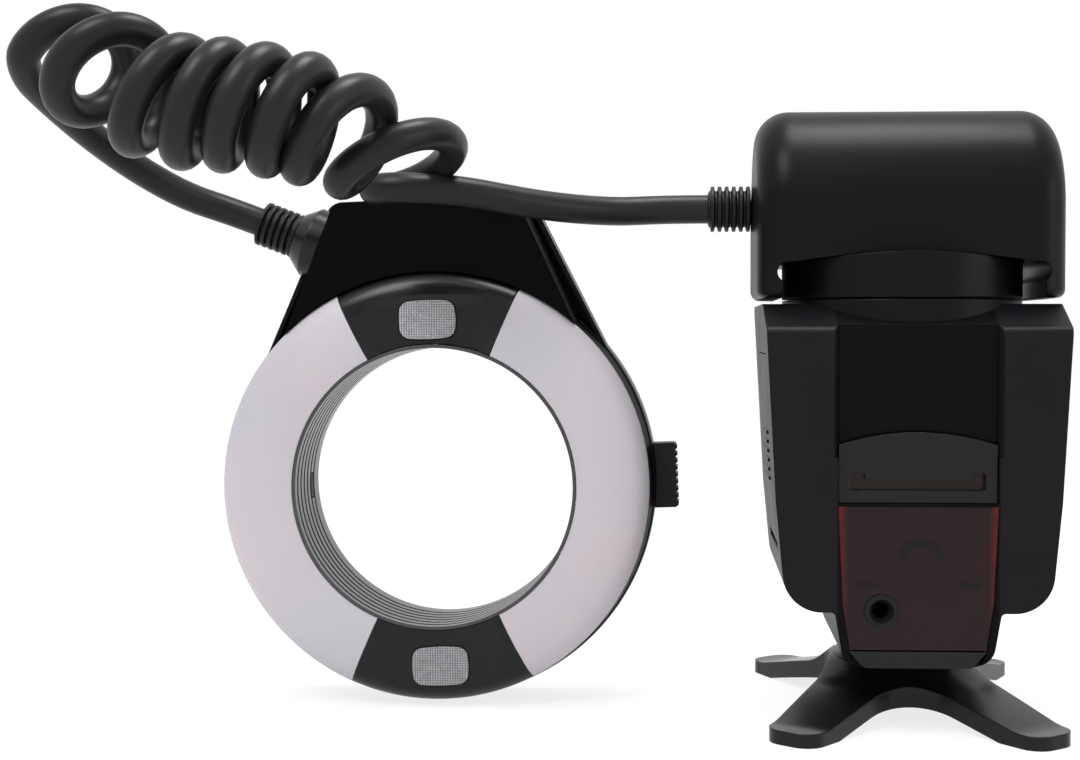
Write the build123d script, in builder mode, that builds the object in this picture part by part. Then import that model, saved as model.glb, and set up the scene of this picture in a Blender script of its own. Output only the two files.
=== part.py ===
"""Macro ring flash: a ring head on a curly cord, and its control unit on a small stand.

Millimetres. +X is the viewer's right, +Y points away from the viewer, +Z is up. The origin
is on the floor, under the middle of the object without its cord.
"""
import os
from math import atan2, ceil, cos, degrees, floor, pi, radians, sin, sqrt, tan

from build123d import *

# Clearances and shared walls
run_gap = 0.3  # between pieces that move past each other
shaft_gap = 0.05  # round a shaft in its hole
seat_gap = 0.1  # between a fixed piece and its pocket
overrun = 2.0  # how far a cut runs past the face that it opens
wall = 1.6  # moulded walls of the control unit
ring_wall = 1.1  # moulded walls of the ring head

# Ring head, measured from its axis and back from its crown
bore_r = 34.4
sleeve_wall = 0.8
ring_depth = 26.0
face_r = 53.2
crown_r = 42.5
inner_drop = 0.95
shoulder_r = 49.2
shoulder_drop = 1.1
rim_drop = 4.6
face_thick = 1.8
front_depth = 12.5
ring_seam = 0.3
rear_lip = 1.5  # how far the rear cover stands out past the face
ring_rear_r = face_r + rear_lip
rear_edge = 1.2
ring_roll = 2.0  # degrees that the head leans to the left on its rim
bezel_half_angle = 25.2
bezel_gap_angle = 0.15

# Hood over the ring, where the cord comes in
hood_top = 72.0
hood_top_half = 22.3
hood_foot_angle = 47.1
hood_corner = 4.5
hood_drop = 3.4
hood_flare = 0.9
hood_rear_flare = 2.9
hood_root_share = 0.25  # how far its sides run on into the ring

# Focus lamps in the two bezels
lamp_width = 13.0
lamp_height = 8.7
lamp_corner = 2.6
lamp_bulge = 0.5
lamp_thick = 2.2
lamp_recess = 1.7
lamp_top_gap = 1.75  # from the bezel's inner edge to the lamp
lamp_bottom_gap = 4.65
panel_slope_top = 4.5
panel_slope_side = 6.5
panel_half = 11.6

# Flash tubes and reflectors
tube_r = 1.7
tube_half_angle = 54.0
reflector_thick = 0.5
reflector_in_r = 38.2
reflector_out_r = 50.6
tube_offset = 0.2
tube_ring_r = (reflector_in_r + reflector_out_r) / 2 + tube_offset

# Release button and its plate round the bore
release_travel = 2.5
button_out = 5.5
button_height = 16.4
button_width = 6.6
button_depth = 19.0
button_teeth = 8
tooth_depth = 0.5
plate_thick = 1.8
plate_in_r = 39.3
plate_out_r = 47.5
claw_width = 6.0

# Placing
ring_spacing = 115.05  # ring axis to control unit axis
body_half = 34.9
head_half = 37.0
ring_front_y = -10.8
neck_y = -2.3
ring_x = (ring_rear_r - head_half - ring_spacing) / 2
ring_z = ring_rear_r
unit_x = ring_x + ring_spacing

# Control unit's head
drum_r = 24.0
drum_z = 123.0
head_end_bulge = 1.2
head_shoulder = 15.0
head_corner_run = 7.7
head_under_z = 109.4
head_under_round = 6.0
cheek_z = 101.0
cheek_in = 30.4
cheek_round = 4.0
arch_rise = 2.3
arch_half = 27.5
notch_r = 2.3
notch_x = 29.3
notch_z = 107.0
head_wall = 2.0

# Swivel between head and body
neck_r = 29.2
turntable_top_z = 100.6
turntable_base_z = 90.6
neck_wall = 3.0
pivot_r = 9.0
pivot_bore_r = 6.0
pivot_flange_r = 12.5
pivot_flange_thick = 1.8
pivot_top_z = 107.5

# Body shells
body_front_y = -34.8
body_back_y = 25.2
body_seam_y = 2.0
body_top_z = 99.6
front_edge_z = 93.6
front_slope_run = 13.0
waist_half = 32.4
waist_z = 54.0
hip_half = 30.0
hip_z = 28.9
hip_round = 9.0
column_half = 18.9
column_foot_half = 16.6
column_foot_z = 15.6
column_foot_round = 6.0
column_back_y = 14.0
column_lean = 1.5
body_edge = 2.4
channel_half = 17.7
channel_depth = 2.6
channel_bevel = 30.0

# Front panel, slot and red window
panel_top_z = 67.2
panel_arch = 2.9
panel_bottom_z = 53.9
panel_width_half = 18.0
panel_thick = 1.8
slot_low_z = 56.7
slot_height = 2.6
slot_half = 15.4
slot_end_r = 1.7
slot_end_rise = 3.4
window_top_z = 53.3
window_half = 18.2
window_mid_half = 17.2
window_mid_z = 31.0
window_foot_half = 15.6
window_foot_z = 20.2
window_thick = 1.8
mask_gap = 0.2
mask_thick = 1.2
foot_trim_round = 5.5
jack_x = -8.3
jack_z = 29.2
jack_collar_r = 3.9
jack_mouth_r = 2.8
jack_bore_r = 1.78
jack_depth = 12.0
jack_recess = 2.0
arc_slot_r = 6.0
arc_slot_z = 36.5
arc_slot_half_angle = 62.0
arc_slot_width = 1.6
bar_z = 35.4
bar_width = 6.0
bar_height = 1.8
bar_x = 10.1

# Battery compartment, on the viewer's left
cell_r = 7.25
cell_length = 49.2
cell_nub_r = 2.75
cell_nub = 1.0
cell_pitch = 14.9
cell_base_z = 36.0
cell_mid_y = -9.0
cell_mid_x = -12.0
contact_thick = 0.5
contact_reach = 4.2
frame_wall = 1.2
door_low_z = 42.0
door_high_z = 90.0
door_front_y = -24.0
door_back_y = 8.0
door_thick = 2.0
door_swing = 80.0
door_pin_r = 1.0
door_ridges = 6
ridge_height = 0.5
ridge_pitch = 2.2
ridge_low_z = 58.0

# Back of the body: display, keys and switch
lcd_half = 24.0
lcd_low_z = 66.0
lcd_high_z = 88.0
lcd_window_thick = 1.4
lcd_glass_thick = 2.6
lcd_rim = 2.5
board_thick = 1.6
board_half = 27.0
board_low_z = 33.0
board_high_z = 89.0
key_travel = 0.6
key_proud = 0.8
key_flange = 0.8
key_flange_thick = 0.8
soft_key_width = 9.0
soft_key_height = 4.2
soft_key_z = 61.0
soft_key_pitch = 12.0
soft_keys = 4
pad_r = 9.0
pad_in_r = 4.6
pad_z = 46.5
set_key_r = 4.0
pilot_key_r = 2.9
pilot_key_x = -21.0
pilot_key_z = 46.5
switch_x = 21.5
switch_z = 46.5
switch_width = 5.0
switch_height = 6.5
switch_travel = 5.0
switch_proud = 1.4

# Foot, lock and stand
stand_depth = 88.4
stand_width = 66.6
stand_top_z = 13.2
stand_foot_z = 3.2
stand_arch_z = 6.0
stand_hub_r = 15.0
stand_arm_width = 13.0
stand_arm_round = 5.0
stand_waist_round = 24.0
foot_length = 18.0
foot_width = 18.6
foot_thick = 2.0
foot_neck_width = 12.3
foot_base_z = 8.2
shoe_gap_width = 12.7
shoe_stop_wall = 2.0
foot_block_half = 13.0
foot_block_y = 3.5
foot_block_gap = 0.3
shoe_slide_travel = 20.0
lock_pin_r = 0.9
lock_pin_y = 6.2
lock_pin_travel = 1.2
lever_pivot_x = 9.0
lever_pivot_y = 19.0
lever_z = 24.2
lever_pin_r = 1.4
lever_hub_r = 3.6
lever_arm_r = 2.6
lever_knob_r = 4.2
lever_knob_in = 23.5
lever_knob_out = 32.4
lever_swing = 60.0
lever_ear = 1.6

# Cord and its strain reliefs
cord_r = 3.55
boot_r = 5.6
boot_valley_r = 4.5
boot_ribs = 6
boot_pitch = 1.75
collar_base_r = 8.9
collar_tip_r = 6.0
collar_length = 3.6
collar_share = 0.66  # how far up the hood's slanted side the cord comes in
head_boot_z = 123.4

# Small screws
body_screw_x = 27.0
body_screw_heights = (36.0, 84.0)
screw_head_r = 1.9
screw_head_thick = 1.4
screw_r = 1.0
screw_length = 7.0

pieces = {}


def face_of(plane, points, radii=0):
    """A closed outline on a plane, its corners rounded by radii, as one face."""
    with BuildSketch(plane) as sketch:
        with BuildLine():
            FilletPolyline(*points, radius=radii, close=True)
        make_face()
    return sketch.sketch


def ring_plane(depth):
    """Plane facing the viewer at a depth behind the crown: x right, y up, rolled."""
    lean = radians(ring_roll)
    return Plane(
        origin=(ring_x, ring_front_y + depth, ring_z),
        x_dir=(cos(lean), 0, sin(lean)),
        z_dir=(0, -1, 0),
    )


def ring_section(angle):
    """Plane through the ring's axis: x is the radius, y the depth behind the crown."""
    turn = radians(ring_roll + angle)
    return Plane(
        origin=(ring_x, ring_front_y, ring_z),
        x_dir=(cos(turn), 0, sin(turn)),
        z_dir=(-sin(turn), 0, cos(turn)),
    )


def floor_plane(height):
    """Level plane over the stand's middle."""
    return Plane(origin=(unit_x, 0, height))


def neck_plane(height):
    """Level plane on the swivel axis."""
    return Plane(origin=(unit_x, neck_y, height))


def front_plane(y):
    """Upright plane facing the viewer: x right, y is the height above the floor."""
    return Plane(origin=(unit_x, y, 0), x_dir=(1, 0, 0), z_dir=(0, -1, 0))


def side_plane(x):
    """Upright plane facing +X: x is the depth from the stand's middle, y the height."""
    return Plane(origin=(unit_x + x, 0, 0), x_dir=(0, 1, 0), z_dir=(1, 0, 0))


def mirrored(points):
    """The points of a right half, then the same points on the left, in order round."""
    return list(points) + [(-x, y) for x, y in reversed(points)]


def section_through(base):
    """Plane that holds a base plane's normal: x is the radius, y the height above it."""
    return Plane(origin=base.origin, x_dir=base.x_dir, z_dir=-base.y_dir)


def turned_face(base, outline, radii=0):
    """Half section of a turned piece from (radius, height) points."""
    return face_of(section_through(base), outline, radii)


def base_axis(base):
    """Axis along a plane's normal."""
    return Axis(base.origin, base.z_dir)


ring_axis = Axis((ring_x, ring_front_y, ring_z), (0, -1, 0))
inner_wall_r = bore_r + sleeve_wall + seat_gap
channel_in_r = inner_wall_r + ring_wall
channel_out_r = face_r - ring_wall
face_back = inner_drop + face_thick
rear_front = front_depth + ring_seam


def crown_section(angle, bezel):
    """Half section of the domed face: thin under a diffuser, solid under a bezel."""
    with BuildSketch(ring_section(angle)) as sketch:
        with BuildLine():
            crown = ThreePointArc(
                (inner_wall_r, inner_drop), (crown_r, 0), (shoulder_r, shoulder_drop)
            )
            rim = TangentArc(crown @ 1, (face_r, rim_drop), tangent=crown % 1)
            back = [(channel_out_r - face_thick / 2, rim_drop)]
            if bezel:
                back += [(channel_in_r, rim_drop), (channel_in_r, face_back)]
            else:
                back += [
                    (shoulder_r - face_thick / 2, shoulder_drop + face_thick),
                    (crown_r, face_thick),
                    (channel_in_r, face_back),
                ]
            Polyline(rim @ 1, *back, (inner_wall_r, face_back), crown @ 0)
        make_face()
    return sketch.sketch


# Diffusers, one on each side
diffuser_start = 90 + bezel_half_angle + bezel_gap_angle
diffuser_span = 180 - 2 * bezel_half_angle - 2 * bezel_gap_angle
for side, start in (("left", diffuser_start), ("right", diffuser_start - 180)):
    with BuildPart() as diffuser:
        revolve(crown_section(start, False), axis=ring_axis, revolution_arc=diffuser_span)
    pieces["diffuser_" + side] = diffuser


def lamp_outline(plane, lamp_y, grow=0):
    """Rounded lamp window with slightly bowed sides."""
    half_w = lamp_width / 2 + grow
    half_h = lamp_height / 2 + grow
    with BuildSketch(plane) as sketch:
        with BuildLine():
            corners = [(half_w, lamp_y - half_h), (half_w, lamp_y + half_h)]
            corners += [(-half_w, lamp_y + half_h), (-half_w, lamp_y - half_h)]
            bows = [(half_w + lamp_bulge, lamp_y), (0, lamp_y + half_h + lamp_bulge)]
            bows += [(-half_w - lamp_bulge, lamp_y), (0, lamp_y - half_h - lamp_bulge)]
            for index, bow in enumerate(bows):
                ThreePointArc(corners[index], bow, corners[(index + 1) % 4])
        make_face()
        fillet(sketch.vertices(), lamp_corner)
    return sketch.sketch


# Bezels with their sloped panels, and the focus lamps in them
lamp_back = lamp_recess + lamp_thick
for place, middle, lamp_gap in (("top", 90, lamp_top_gap), ("bottom", 270, lamp_bottom_gap)):
    up = 1 if middle == 90 else -1
    lamp_y = up * (inner_wall_r + lamp_gap + lamp_height / 2)
    if up > 0:
        panel_far = shoulder_r - panel_slope_top
    else:
        panel_far = face_r + overrun
    panel_near = inner_wall_r - overrun
    with BuildPart() as bezel:
        start = middle - bezel_half_angle
        revolve(crown_section(start, True), axis=ring_axis, revolution_arc=2 * bezel_half_angle)
        far_wide = panel_half + panel_slope_side
        near_wide = panel_half + panel_slope_side / 2
        mouth = [(far_wide, up * (panel_far + panel_slope_top)), (near_wide, up * panel_near)]
        floor_quad = [(panel_half, up * panel_far), (panel_half, up * panel_near)]
        front = face_of(ring_plane(-seat_gap), mirrored(mouth))
        deep = face_of(ring_plane(lamp_recess), mirrored(floor_quad))
        loft([front.face(), deep.face()], ruled=True, mode=Mode.SUBTRACT)
        pocket = lamp_outline(ring_plane(rim_drop), lamp_y, seat_gap)
        extrude(pocket, amount=rim_drop, mode=Mode.SUBTRACT)
    pieces["lamp_bezel_" + place] = bezel
    with BuildPart() as lens:
        extrude(lamp_outline(ring_plane(rim_drop), lamp_y), amount=rim_drop - lamp_recess + inner_drop / 2)
    pieces["lamp_lens_" + place] = lens
    with BuildPart() as lamp:
        lamp_plane = Plane(ring_plane(0).from_local_coords((0, lamp_y, -(rim_drop + lamp_thick))),
                           x_dir=ring_plane(0).x_dir, z_dir=(0, -1, 0))
        with BuildSketch(lamp_plane):
            Rectangle(lamp_width - lamp_thick, lamp_height - lamp_thick)
        extrude(amount=lamp_thick / 2)
        with BuildSketch(lamp_plane.offset(lamp_thick / 2)):
            Circle(lamp_thick)
        extrude(amount=lamp_thick / 2)
    pieces["focus_lamp_" + place] = lamp


# Front housing: the channel under the face, and the hood's front half
front_back_plane = ring_plane(front_depth)


def hood_outline(plane, foot_r, grow=0, lower=0):
    """Outline of the hood, each side out by grow, its top lower, closed inside the ring."""
    foot = radians(hood_foot_angle)
    foot_x = foot_r * cos(foot) + grow
    foot_y = foot_r * sin(foot)
    root_x = foot_x + (foot_x - hood_top_half - grow) * hood_root_share
    root_y = foot_y - (hood_top - foot_y) * hood_root_share
    half = [(foot_y / 2, 0), (root_x, root_y), (hood_top_half + grow, hood_top - lower)]
    radii = [0, 0, hood_corner, hood_corner, 0, 0]
    return face_of(plane, mirrored(half), radii)


def collar_plane(height):
    """Plane square to the hood's left side, where the cord comes in."""
    foot = radians(hood_foot_angle)
    foot_x = face_r * cos(foot)
    foot_y = face_r * sin(foot)
    side_run = hood_top - foot_y
    side_lean = foot_x - hood_top_half
    base = ring_plane((front_depth + rear_front) / 2)
    at = (-(foot_x - collar_share * side_lean), foot_y + collar_share * side_run, 0)
    ahead = base.from_local_coords((at[0] - side_run, at[1] + side_lean, 0))
    start = base.from_local_coords(at)
    outward = (ahead - start).normalized()
    return Plane(origin=start + outward * height, x_dir=(0, -1, 0), z_dir=outward)


def ring_disc(plane, radius):
    """Round face about a plane's origin."""
    with BuildSketch(plane) as sketch:
        Circle(radius)
    return sketch.sketch


hood_rise = front_depth - hood_drop
hood_taper = degrees(atan2(hood_flare, hood_rise))
with BuildPart() as ring_front_housing:
    extrude(hood_outline(front_back_plane, face_r, hood_flare), amount=hood_rise, taper=hood_taper)
    extrude(
        hood_outline(front_back_plane, face_r, hood_flare - ring_wall, ring_wall),
        amount=hood_rise - ring_wall,
        taper=hood_taper,
        mode=Mode.SUBTRACT,
    )
    extrude(
        ring_disc(front_back_plane, face_r - ring_wall / 2),
        amount=front_depth + overrun,
        mode=Mode.SUBTRACT,
    )
    extrude(
        ring_disc(ring_plane(rim_drop), face_r + seat_gap),
        amount=rim_drop + overrun,
        mode=Mode.SUBTRACT,
    )
    channel = [
        (inner_wall_r, face_back),
        (channel_in_r, face_back),
        (channel_in_r, front_depth - ring_wall),
        (channel_out_r, front_depth - ring_wall),
        (channel_out_r, rim_drop),
        (face_r, rim_drop),
        (face_r + hood_flare, front_depth),
        (inner_wall_r, front_depth),
    ]
    revolve(face_of(ring_section(0), channel), axis=ring_axis)
    extrude(
        ring_disc(collar_plane(-seat_gap), collar_base_r + seat_gap),
        amount=collar_length + overrun,
        mode=Mode.SUBTRACT,
    )
pieces["ring_front_housing"] = ring_front_housing

# Reflector troughs and the flash tubes in them
trough_back = front_depth - ring_wall
trough_front = face_back + tube_r
for side, middle in (("left", 180), ("right", 0)):
    start = middle - tube_half_angle
    trough = [
        (reflector_in_r, trough_front),
        (reflector_in_r + reflector_thick, trough_front),
        (tube_ring_r - tube_r, trough_back - reflector_thick),
        (tube_ring_r + tube_r, trough_back - reflector_thick),
        (reflector_out_r - reflector_thick, trough_front),
        (reflector_out_r, trough_front),
        (tube_ring_r + tube_r, trough_back),
        (tube_ring_r - tube_r, trough_back),
    ]
    with BuildPart() as reflector:
        trough_face = face_of(ring_section(start), trough)
        revolve(trough_face, axis=ring_axis, revolution_arc=2 * tube_half_angle)
    pieces["reflector_" + side] = reflector
    with BuildPart() as flash_tube:
        with BuildSketch(ring_section(start)) as tube_round:
            with Locations((tube_ring_r, trough_back - reflector_thick - tube_r)):
                Circle(tube_r)
        revolve(axis=ring_axis, revolution_arc=2 * tube_half_angle)
    pieces["flash_tube_" + side] = flash_tube

# Ring circuit board behind the channel
board_ring_in = channel_in_r + ring_wall
board_ring_out = channel_out_r - ring_wall / 2
with BuildPart() as ring_circuit_board:
    with BuildSketch(ring_plane(front_depth + board_thick)):
        Circle(board_ring_out)
        Circle(board_ring_in, mode=Mode.SUBTRACT)
    extrude(amount=board_thick)
pieces["ring_circuit_board"] = ring_circuit_board

# Rear cover with the bore wall, the button's window and the claw's window
button_half = button_height / 2
plate_front = button_depth - plate_thick / 2
plate_back = button_depth + plate_thick / 2
cover_plate = ring_depth - ring_wall - run_gap
rib_width = 5.0
rib_half_span = 8.0
cover_wall_r = ring_rear_r - ring_wall - run_gap
screw_ring_r = cover_wall_r - screw_head_r
ring_screw_spots = [
    (screw_ring_r * cos(radians(angle)), screw_ring_r * sin(radians(angle)))
    for angle in (225, 315)
]
ring_screw_spots += [(side * hood_top_half * 3 / 4, hood_top - 2 * hood_corner) for side in (-1, 1)]


def ring_box(plane, x_from, x_to, half_y):
    """Rectangle in the ring's own frame, from one x to another."""
    with BuildSketch(plane) as sketch:
        with Locations(((x_from + x_to) / 2, 0)):
            Rectangle(abs(x_to - x_from), 2 * half_y)
    return sketch.sketch


with BuildPart() as ring_rear_cover:
    hood_back = hood_outline(ring_plane(ring_depth - rear_edge), ring_rear_r, hood_rear_flare)
    extrude(hood_back, amount=ring_depth - rear_edge - rear_front)
    extrude(hood_back, amount=-rear_edge, taper=45)
    extrude(
        hood_outline(ring_plane(cover_plate), ring_rear_r, hood_rear_flare - ring_wall, ring_wall),
        amount=cover_plate - rear_front,
        mode=Mode.SUBTRACT,
    )
    extrude(
        ring_disc(ring_plane(ring_depth), cover_wall_r + ring_wall / 2),
        amount=ring_depth,
        mode=Mode.SUBTRACT,
    )
    shell = [
        (inner_wall_r, rear_front),
        (channel_in_r, rear_front),
        (channel_in_r, cover_plate),
        (cover_wall_r, cover_plate),
        (cover_wall_r, rear_front),
        (ring_rear_r - ring_seam, rear_front),
        (ring_rear_r, rear_front + rear_edge),
        (ring_rear_r, ring_depth - rear_edge),
        (ring_rear_r - rear_edge, ring_depth),
        (inner_wall_r, ring_depth),
    ]
    revolve(face_of(ring_section(0), shell), axis=ring_axis)
    rib_plane = ring_plane(cover_plate)
    with BuildSketch(rib_plane):
        with PolarLocations((plate_in_r + plate_out_r) / 2, 4, start_angle=45):
            Rectangle(rib_width, 2 * rib_half_span)
    extrude(amount=cover_plate - plate_back - run_gap)
    with BuildSketch(ring_plane(cover_plate)):
        for spot in ring_screw_spots:
            with Locations(spot):
                Circle(screw_head_r - shaft_gap)
    extrude(amount=screw_length - ring_wall)
    with BuildSketch(ring_plane(ring_depth)):
        for spot in ring_screw_spots:
            with Locations(spot):
                Circle(screw_head_r + seat_gap)
    extrude(amount=screw_head_thick / 2, mode=Mode.SUBTRACT)
    with BuildSketch(ring_plane(ring_depth)):
        for spot in ring_screw_spots:
            with Locations(spot):
                Circle(screw_r + shaft_gap)
    extrude(amount=screw_length + seat_gap, mode=Mode.SUBTRACT)
    extrude(
        ring_disc(collar_plane(-seat_gap), collar_base_r + seat_gap),
        amount=collar_length + overrun,
        mode=Mode.SUBTRACT,
    )
    window_plane = ring_plane(button_depth + button_width / 2 + run_gap)
    extrude(
        ring_box(window_plane, cover_wall_r - overrun, ring_rear_r + overrun, button_half + run_gap),
        amount=button_width + 2 * run_gap,
        mode=Mode.SUBTRACT,
    )
    extrude(
        ring_box(ring_plane(plate_back + run_gap), -bore_r, -channel_in_r - seat_gap,
                 claw_width / 2 + run_gap),
        amount=plate_thick + 2 * run_gap,
        mode=Mode.SUBTRACT,
    )
pieces["ring_rear_cover"] = ring_rear_cover

# Ribbed sleeve that lines the bore, with the claw's window
sleeve_front = inner_drop - seat_gap
groove_depth = sleeve_wall / 2
grooves = 6
groove_width = 1.2
land_width = 2.2
with BuildPart() as bore_sleeve:
    with BuildSketch(ring_section(0)):
        with Locations((bore_r, sleeve_front)):
            Rectangle(sleeve_wall, ring_depth - sleeve_front, align=(Align.MIN, Align.MIN))
    revolve(axis=ring_axis)
    with BuildSketch(ring_section(0)):
        for index in range(grooves):
            groove_at = sleeve_front + land_width * (index + 1) + groove_width * index
            with Locations((bore_r - overrun, groove_at)):
                Rectangle(overrun + groove_depth, groove_width, align=(Align.MIN, Align.MIN))
    revolve(axis=ring_axis, mode=Mode.SUBTRACT)
    extrude(
        ring_box(ring_plane(plate_back + run_gap), -bore_r + overrun, -inner_wall_r,
                 claw_width / 2 + run_gap),
        amount=plate_thick + 2 * run_gap,
        mode=Mode.SUBTRACT,
    )
pieces["bore_sleeve"] = bore_sleeve

# Release slider: the plate round the bore, its claw and the serrated button
button_in = cover_wall_r - release_travel - run_gap - ring_wall
with BuildPart() as release_slider:
    with BuildSketch(ring_plane(plate_back)):
        Circle(plate_out_r)
        Circle(plate_in_r, mode=Mode.SUBTRACT)
        with Locations((-(bore_r + plate_in_r + ring_wall) / 2, 0)):
            Rectangle(plate_in_r - bore_r + ring_wall, claw_width)
        Circle(bore_r + shaft_gap, mode=Mode.SUBTRACT)
        with Locations(((plate_out_r + button_in) / 2, 0)):
            Rectangle(button_in - plate_out_r + 2 * ring_wall, claw_width)
    extrude(amount=plate_thick)
    tooth_pitch = (button_height - 2 * ring_wall) / button_teeth
    with BuildSketch(ring_plane(button_depth + button_width / 2)):
        with Locations(((button_in + ring_rear_r + button_out) / 2, 0)):
            RectangleRounded(ring_rear_r + button_out - button_in, button_height, ring_wall)
    extrude(amount=button_width)
    with BuildSketch(ring_plane(button_depth + button_width / 2)):
        for index in range(button_teeth):
            tooth_y = (index - (button_teeth - 1) / 2) * tooth_pitch
            with Locations((ring_rear_r + button_out, tooth_y)):
                Circle(tooth_depth)
    extrude(amount=button_width, mode=Mode.SUBTRACT)
pieces["release_slider"] = release_slider

# Screws in the rear cover
with BuildPart() as ring_screws:
    with BuildSketch(ring_plane(ring_depth)):
        for spot in ring_screw_spots:
            with Locations(spot):
                Circle(screw_head_r)
    extrude(amount=screw_head_thick / 2)
    with BuildSketch(ring_plane(ring_depth - screw_head_thick / 2)):
        for spot in ring_screw_spots:
            with Locations(spot):
                Circle(screw_r)
    extrude(amount=screw_length - screw_head_thick)
    with BuildSketch(ring_plane(ring_depth)):
        for spot in ring_screw_spots:
            with Locations(spot):
                Rectangle(screw_head_r, screw_r / 4)
                Rectangle(screw_r / 4, screw_head_r)
    extrude(amount=screw_head_thick / 4, mode=Mode.SUBTRACT)
pieces["ring_screws"] = ring_screws

# Cord socket on the hood, and the ribbed strain reliefs
socket_length = 2 * collar_length
with BuildPart() as ring_cord_socket:
    collar_outline = [
        (0, 0),
        (collar_base_r, 0),
        (collar_base_r, collar_length),
        (collar_tip_r, socket_length),
        (0, socket_length),
    ]
    revolve(turned_face(collar_plane(0), collar_outline), axis=base_axis(collar_plane(0)))
pieces["ring_cord_socket"] = ring_cord_socket
boot_length = boot_ribs * boot_pitch


def boot_outline():
    """Half section of a ribbed strain relief, its first rib against the socket."""
    outline = [(0, 0)]
    rib = boot_pitch * 2 / 3
    for index in range(boot_ribs):
        start = index * boot_pitch
        outline += [(boot_r, start), (boot_r, start + rib)]
        outline += [(boot_valley_r, start + rib), (boot_valley_r, start + boot_pitch)]
    return outline + [(0, boot_length)]


ring_boot_base = collar_plane(socket_length)
head_boot_base = Plane(
    origin=(unit_x - head_half - seat_gap, neck_y, head_boot_z), x_dir=(0, 1, 0), z_dir=(-1, 0, 0)
)
for name, base in (("ring_cord_boot", ring_boot_base), ("head_cord_boot", head_boot_base)):
    with BuildPart() as boot:
        revolve(turned_face(base, boot_outline()), axis=base_axis(base))
    pieces[name] = boot

# Curly cord: the middle of each loop, its tilt and its radius, one row for each whole turn
coil_middles = [
    (-142.0, -24.8, 153.3),
    (-123.5, -50.8, 152.1),
    (-107.7, -69.8, 147.3),
    (-92.9, -77.8, 140.4),
    (-83.9, -78.8, 139.0),
    (-75.4, -78.8, 138.2),
    (-66.9, -76.8, 137.0),
    (-58.6, -70.8, 134.7),
    (-48.5, -47.8, 131.4),
    (-48.2, -22.8, 124.7),
    (-46.6, -4.8, 124.5),
]
coil_radii = [10.4, 10.4, 10.4, 10.6, 10.6, 10.4, 10.4, 10.2, 11.2, 9.5, 9.5]
coil_yaws = [62, 46, 34, 8, 2, 2, 2, 2, 4, 0, 0]
coil_pitches = [44, 34, 28, 19, 17, 17, 19, 26, 58, 88, 90]
coil_first_turn = -0.19
coil_last_turn = 8.0
coil_steps = 33


def blended(values, turn):
    """Value at a turn on the smooth curve through a table of whole turns."""
    row = min(max(floor(turn) + 1, 1), len(values) - 3)
    u = turn - (row - 1)
    p0, p1, p2, p3 = values[row - 1 : row + 3]
    return (
        2 * p1
        + (p2 - p0) * u
        + (2 * p0 - 5 * p1 + 4 * p2 - p3) * u**2
        + (3 * p1 - p0 - 3 * p2 + p3) * u**3
    ) / 2


def coil_point(turn):
    """Point of the coil's centre line at a turn."""
    middle = Vector(*[blended([row[axis] for row in coil_middles], turn) for axis in range(3)])
    yaw = radians(blended(coil_yaws, turn))
    pitch = radians(blended(coil_pitches, turn))
    along = Vector(cos(yaw) * cos(pitch), -sin(yaw) * cos(pitch), -sin(pitch))
    back = Vector(sin(yaw), cos(yaw), 0)
    up = along.cross(back)
    around = 2 * pi * turn
    return middle + (up * sin(around) - back * cos(around)) * blended(coil_radii, turn)


def coil_heading(turn):
    """Direction of the coil's centre line at a turn."""
    return (coil_point(turn + 0.001) - coil_point(turn - 0.001)).normalized()


def biarc_joint(first, last, first_heading, last_heading):
    """Middle point of the two arcs from first to last, and the heading that ends them."""
    span = last - first
    total = first_heading + last_heading
    straight = 2 * (1 - first_heading.dot(last_heading))
    root = sqrt(span.dot(total) ** 2 + straight * span.dot(span))
    reach = (root - span.dot(total)) / straight
    joint = (first + last + (first_heading - last_heading) * reach) / 2
    return joint, (last - last_heading * reach - joint).normalized()


coil_turns = [
    coil_first_turn + (coil_last_turn - coil_first_turn) * step / coil_steps
    for step in range(coil_steps + 1)
]
coil_start = coil_point(coil_first_turn)
coil_start_way = coil_heading(coil_first_turn)
coil_end = coil_point(coil_last_turn)
coil_end_way = coil_heading(coil_last_turn)
cord_d = 2 * cord_r
tail_meets = coil_start - coil_start_way * cord_d
lead_meets = coil_end + coil_end_way * cord_d
with BuildPart() as cord_coil:
    with BuildLine() as coil_path:
        Line(tail_meets, coil_start)
        for first, last in zip(coil_turns, coil_turns[1:]):
            here = coil_point(first)
            there = coil_point(last)
            joint, joint_way = biarc_joint(here, there, coil_heading(first), coil_heading(last))
            TangentArc(here, joint, tangent=coil_heading(first))
            TangentArc(joint, there, tangent=joint_way)
        Line(coil_end, lead_meets)
    with BuildSketch(Plane(origin=tail_meets, z_dir=coil_start_way)):
        Circle(cord_r)
    sweep(path=coil_path.wires()[0])
pieces["cord_coil"] = cord_coil

coil_probe = [
    coil_point(coil_first_turn + (coil_last_turn - coil_first_turn) * step / 800)
    for step in range(801)
]
coil_gap = min(
    (coil_probe[i] - coil_probe[j]).length - cord_d
    for i in range(0, 801, 2)
    for j in range(i + 40, 801, 2)
)
print("coil: least gap to itself", round(coil_gap, 2), "mm")

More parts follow.
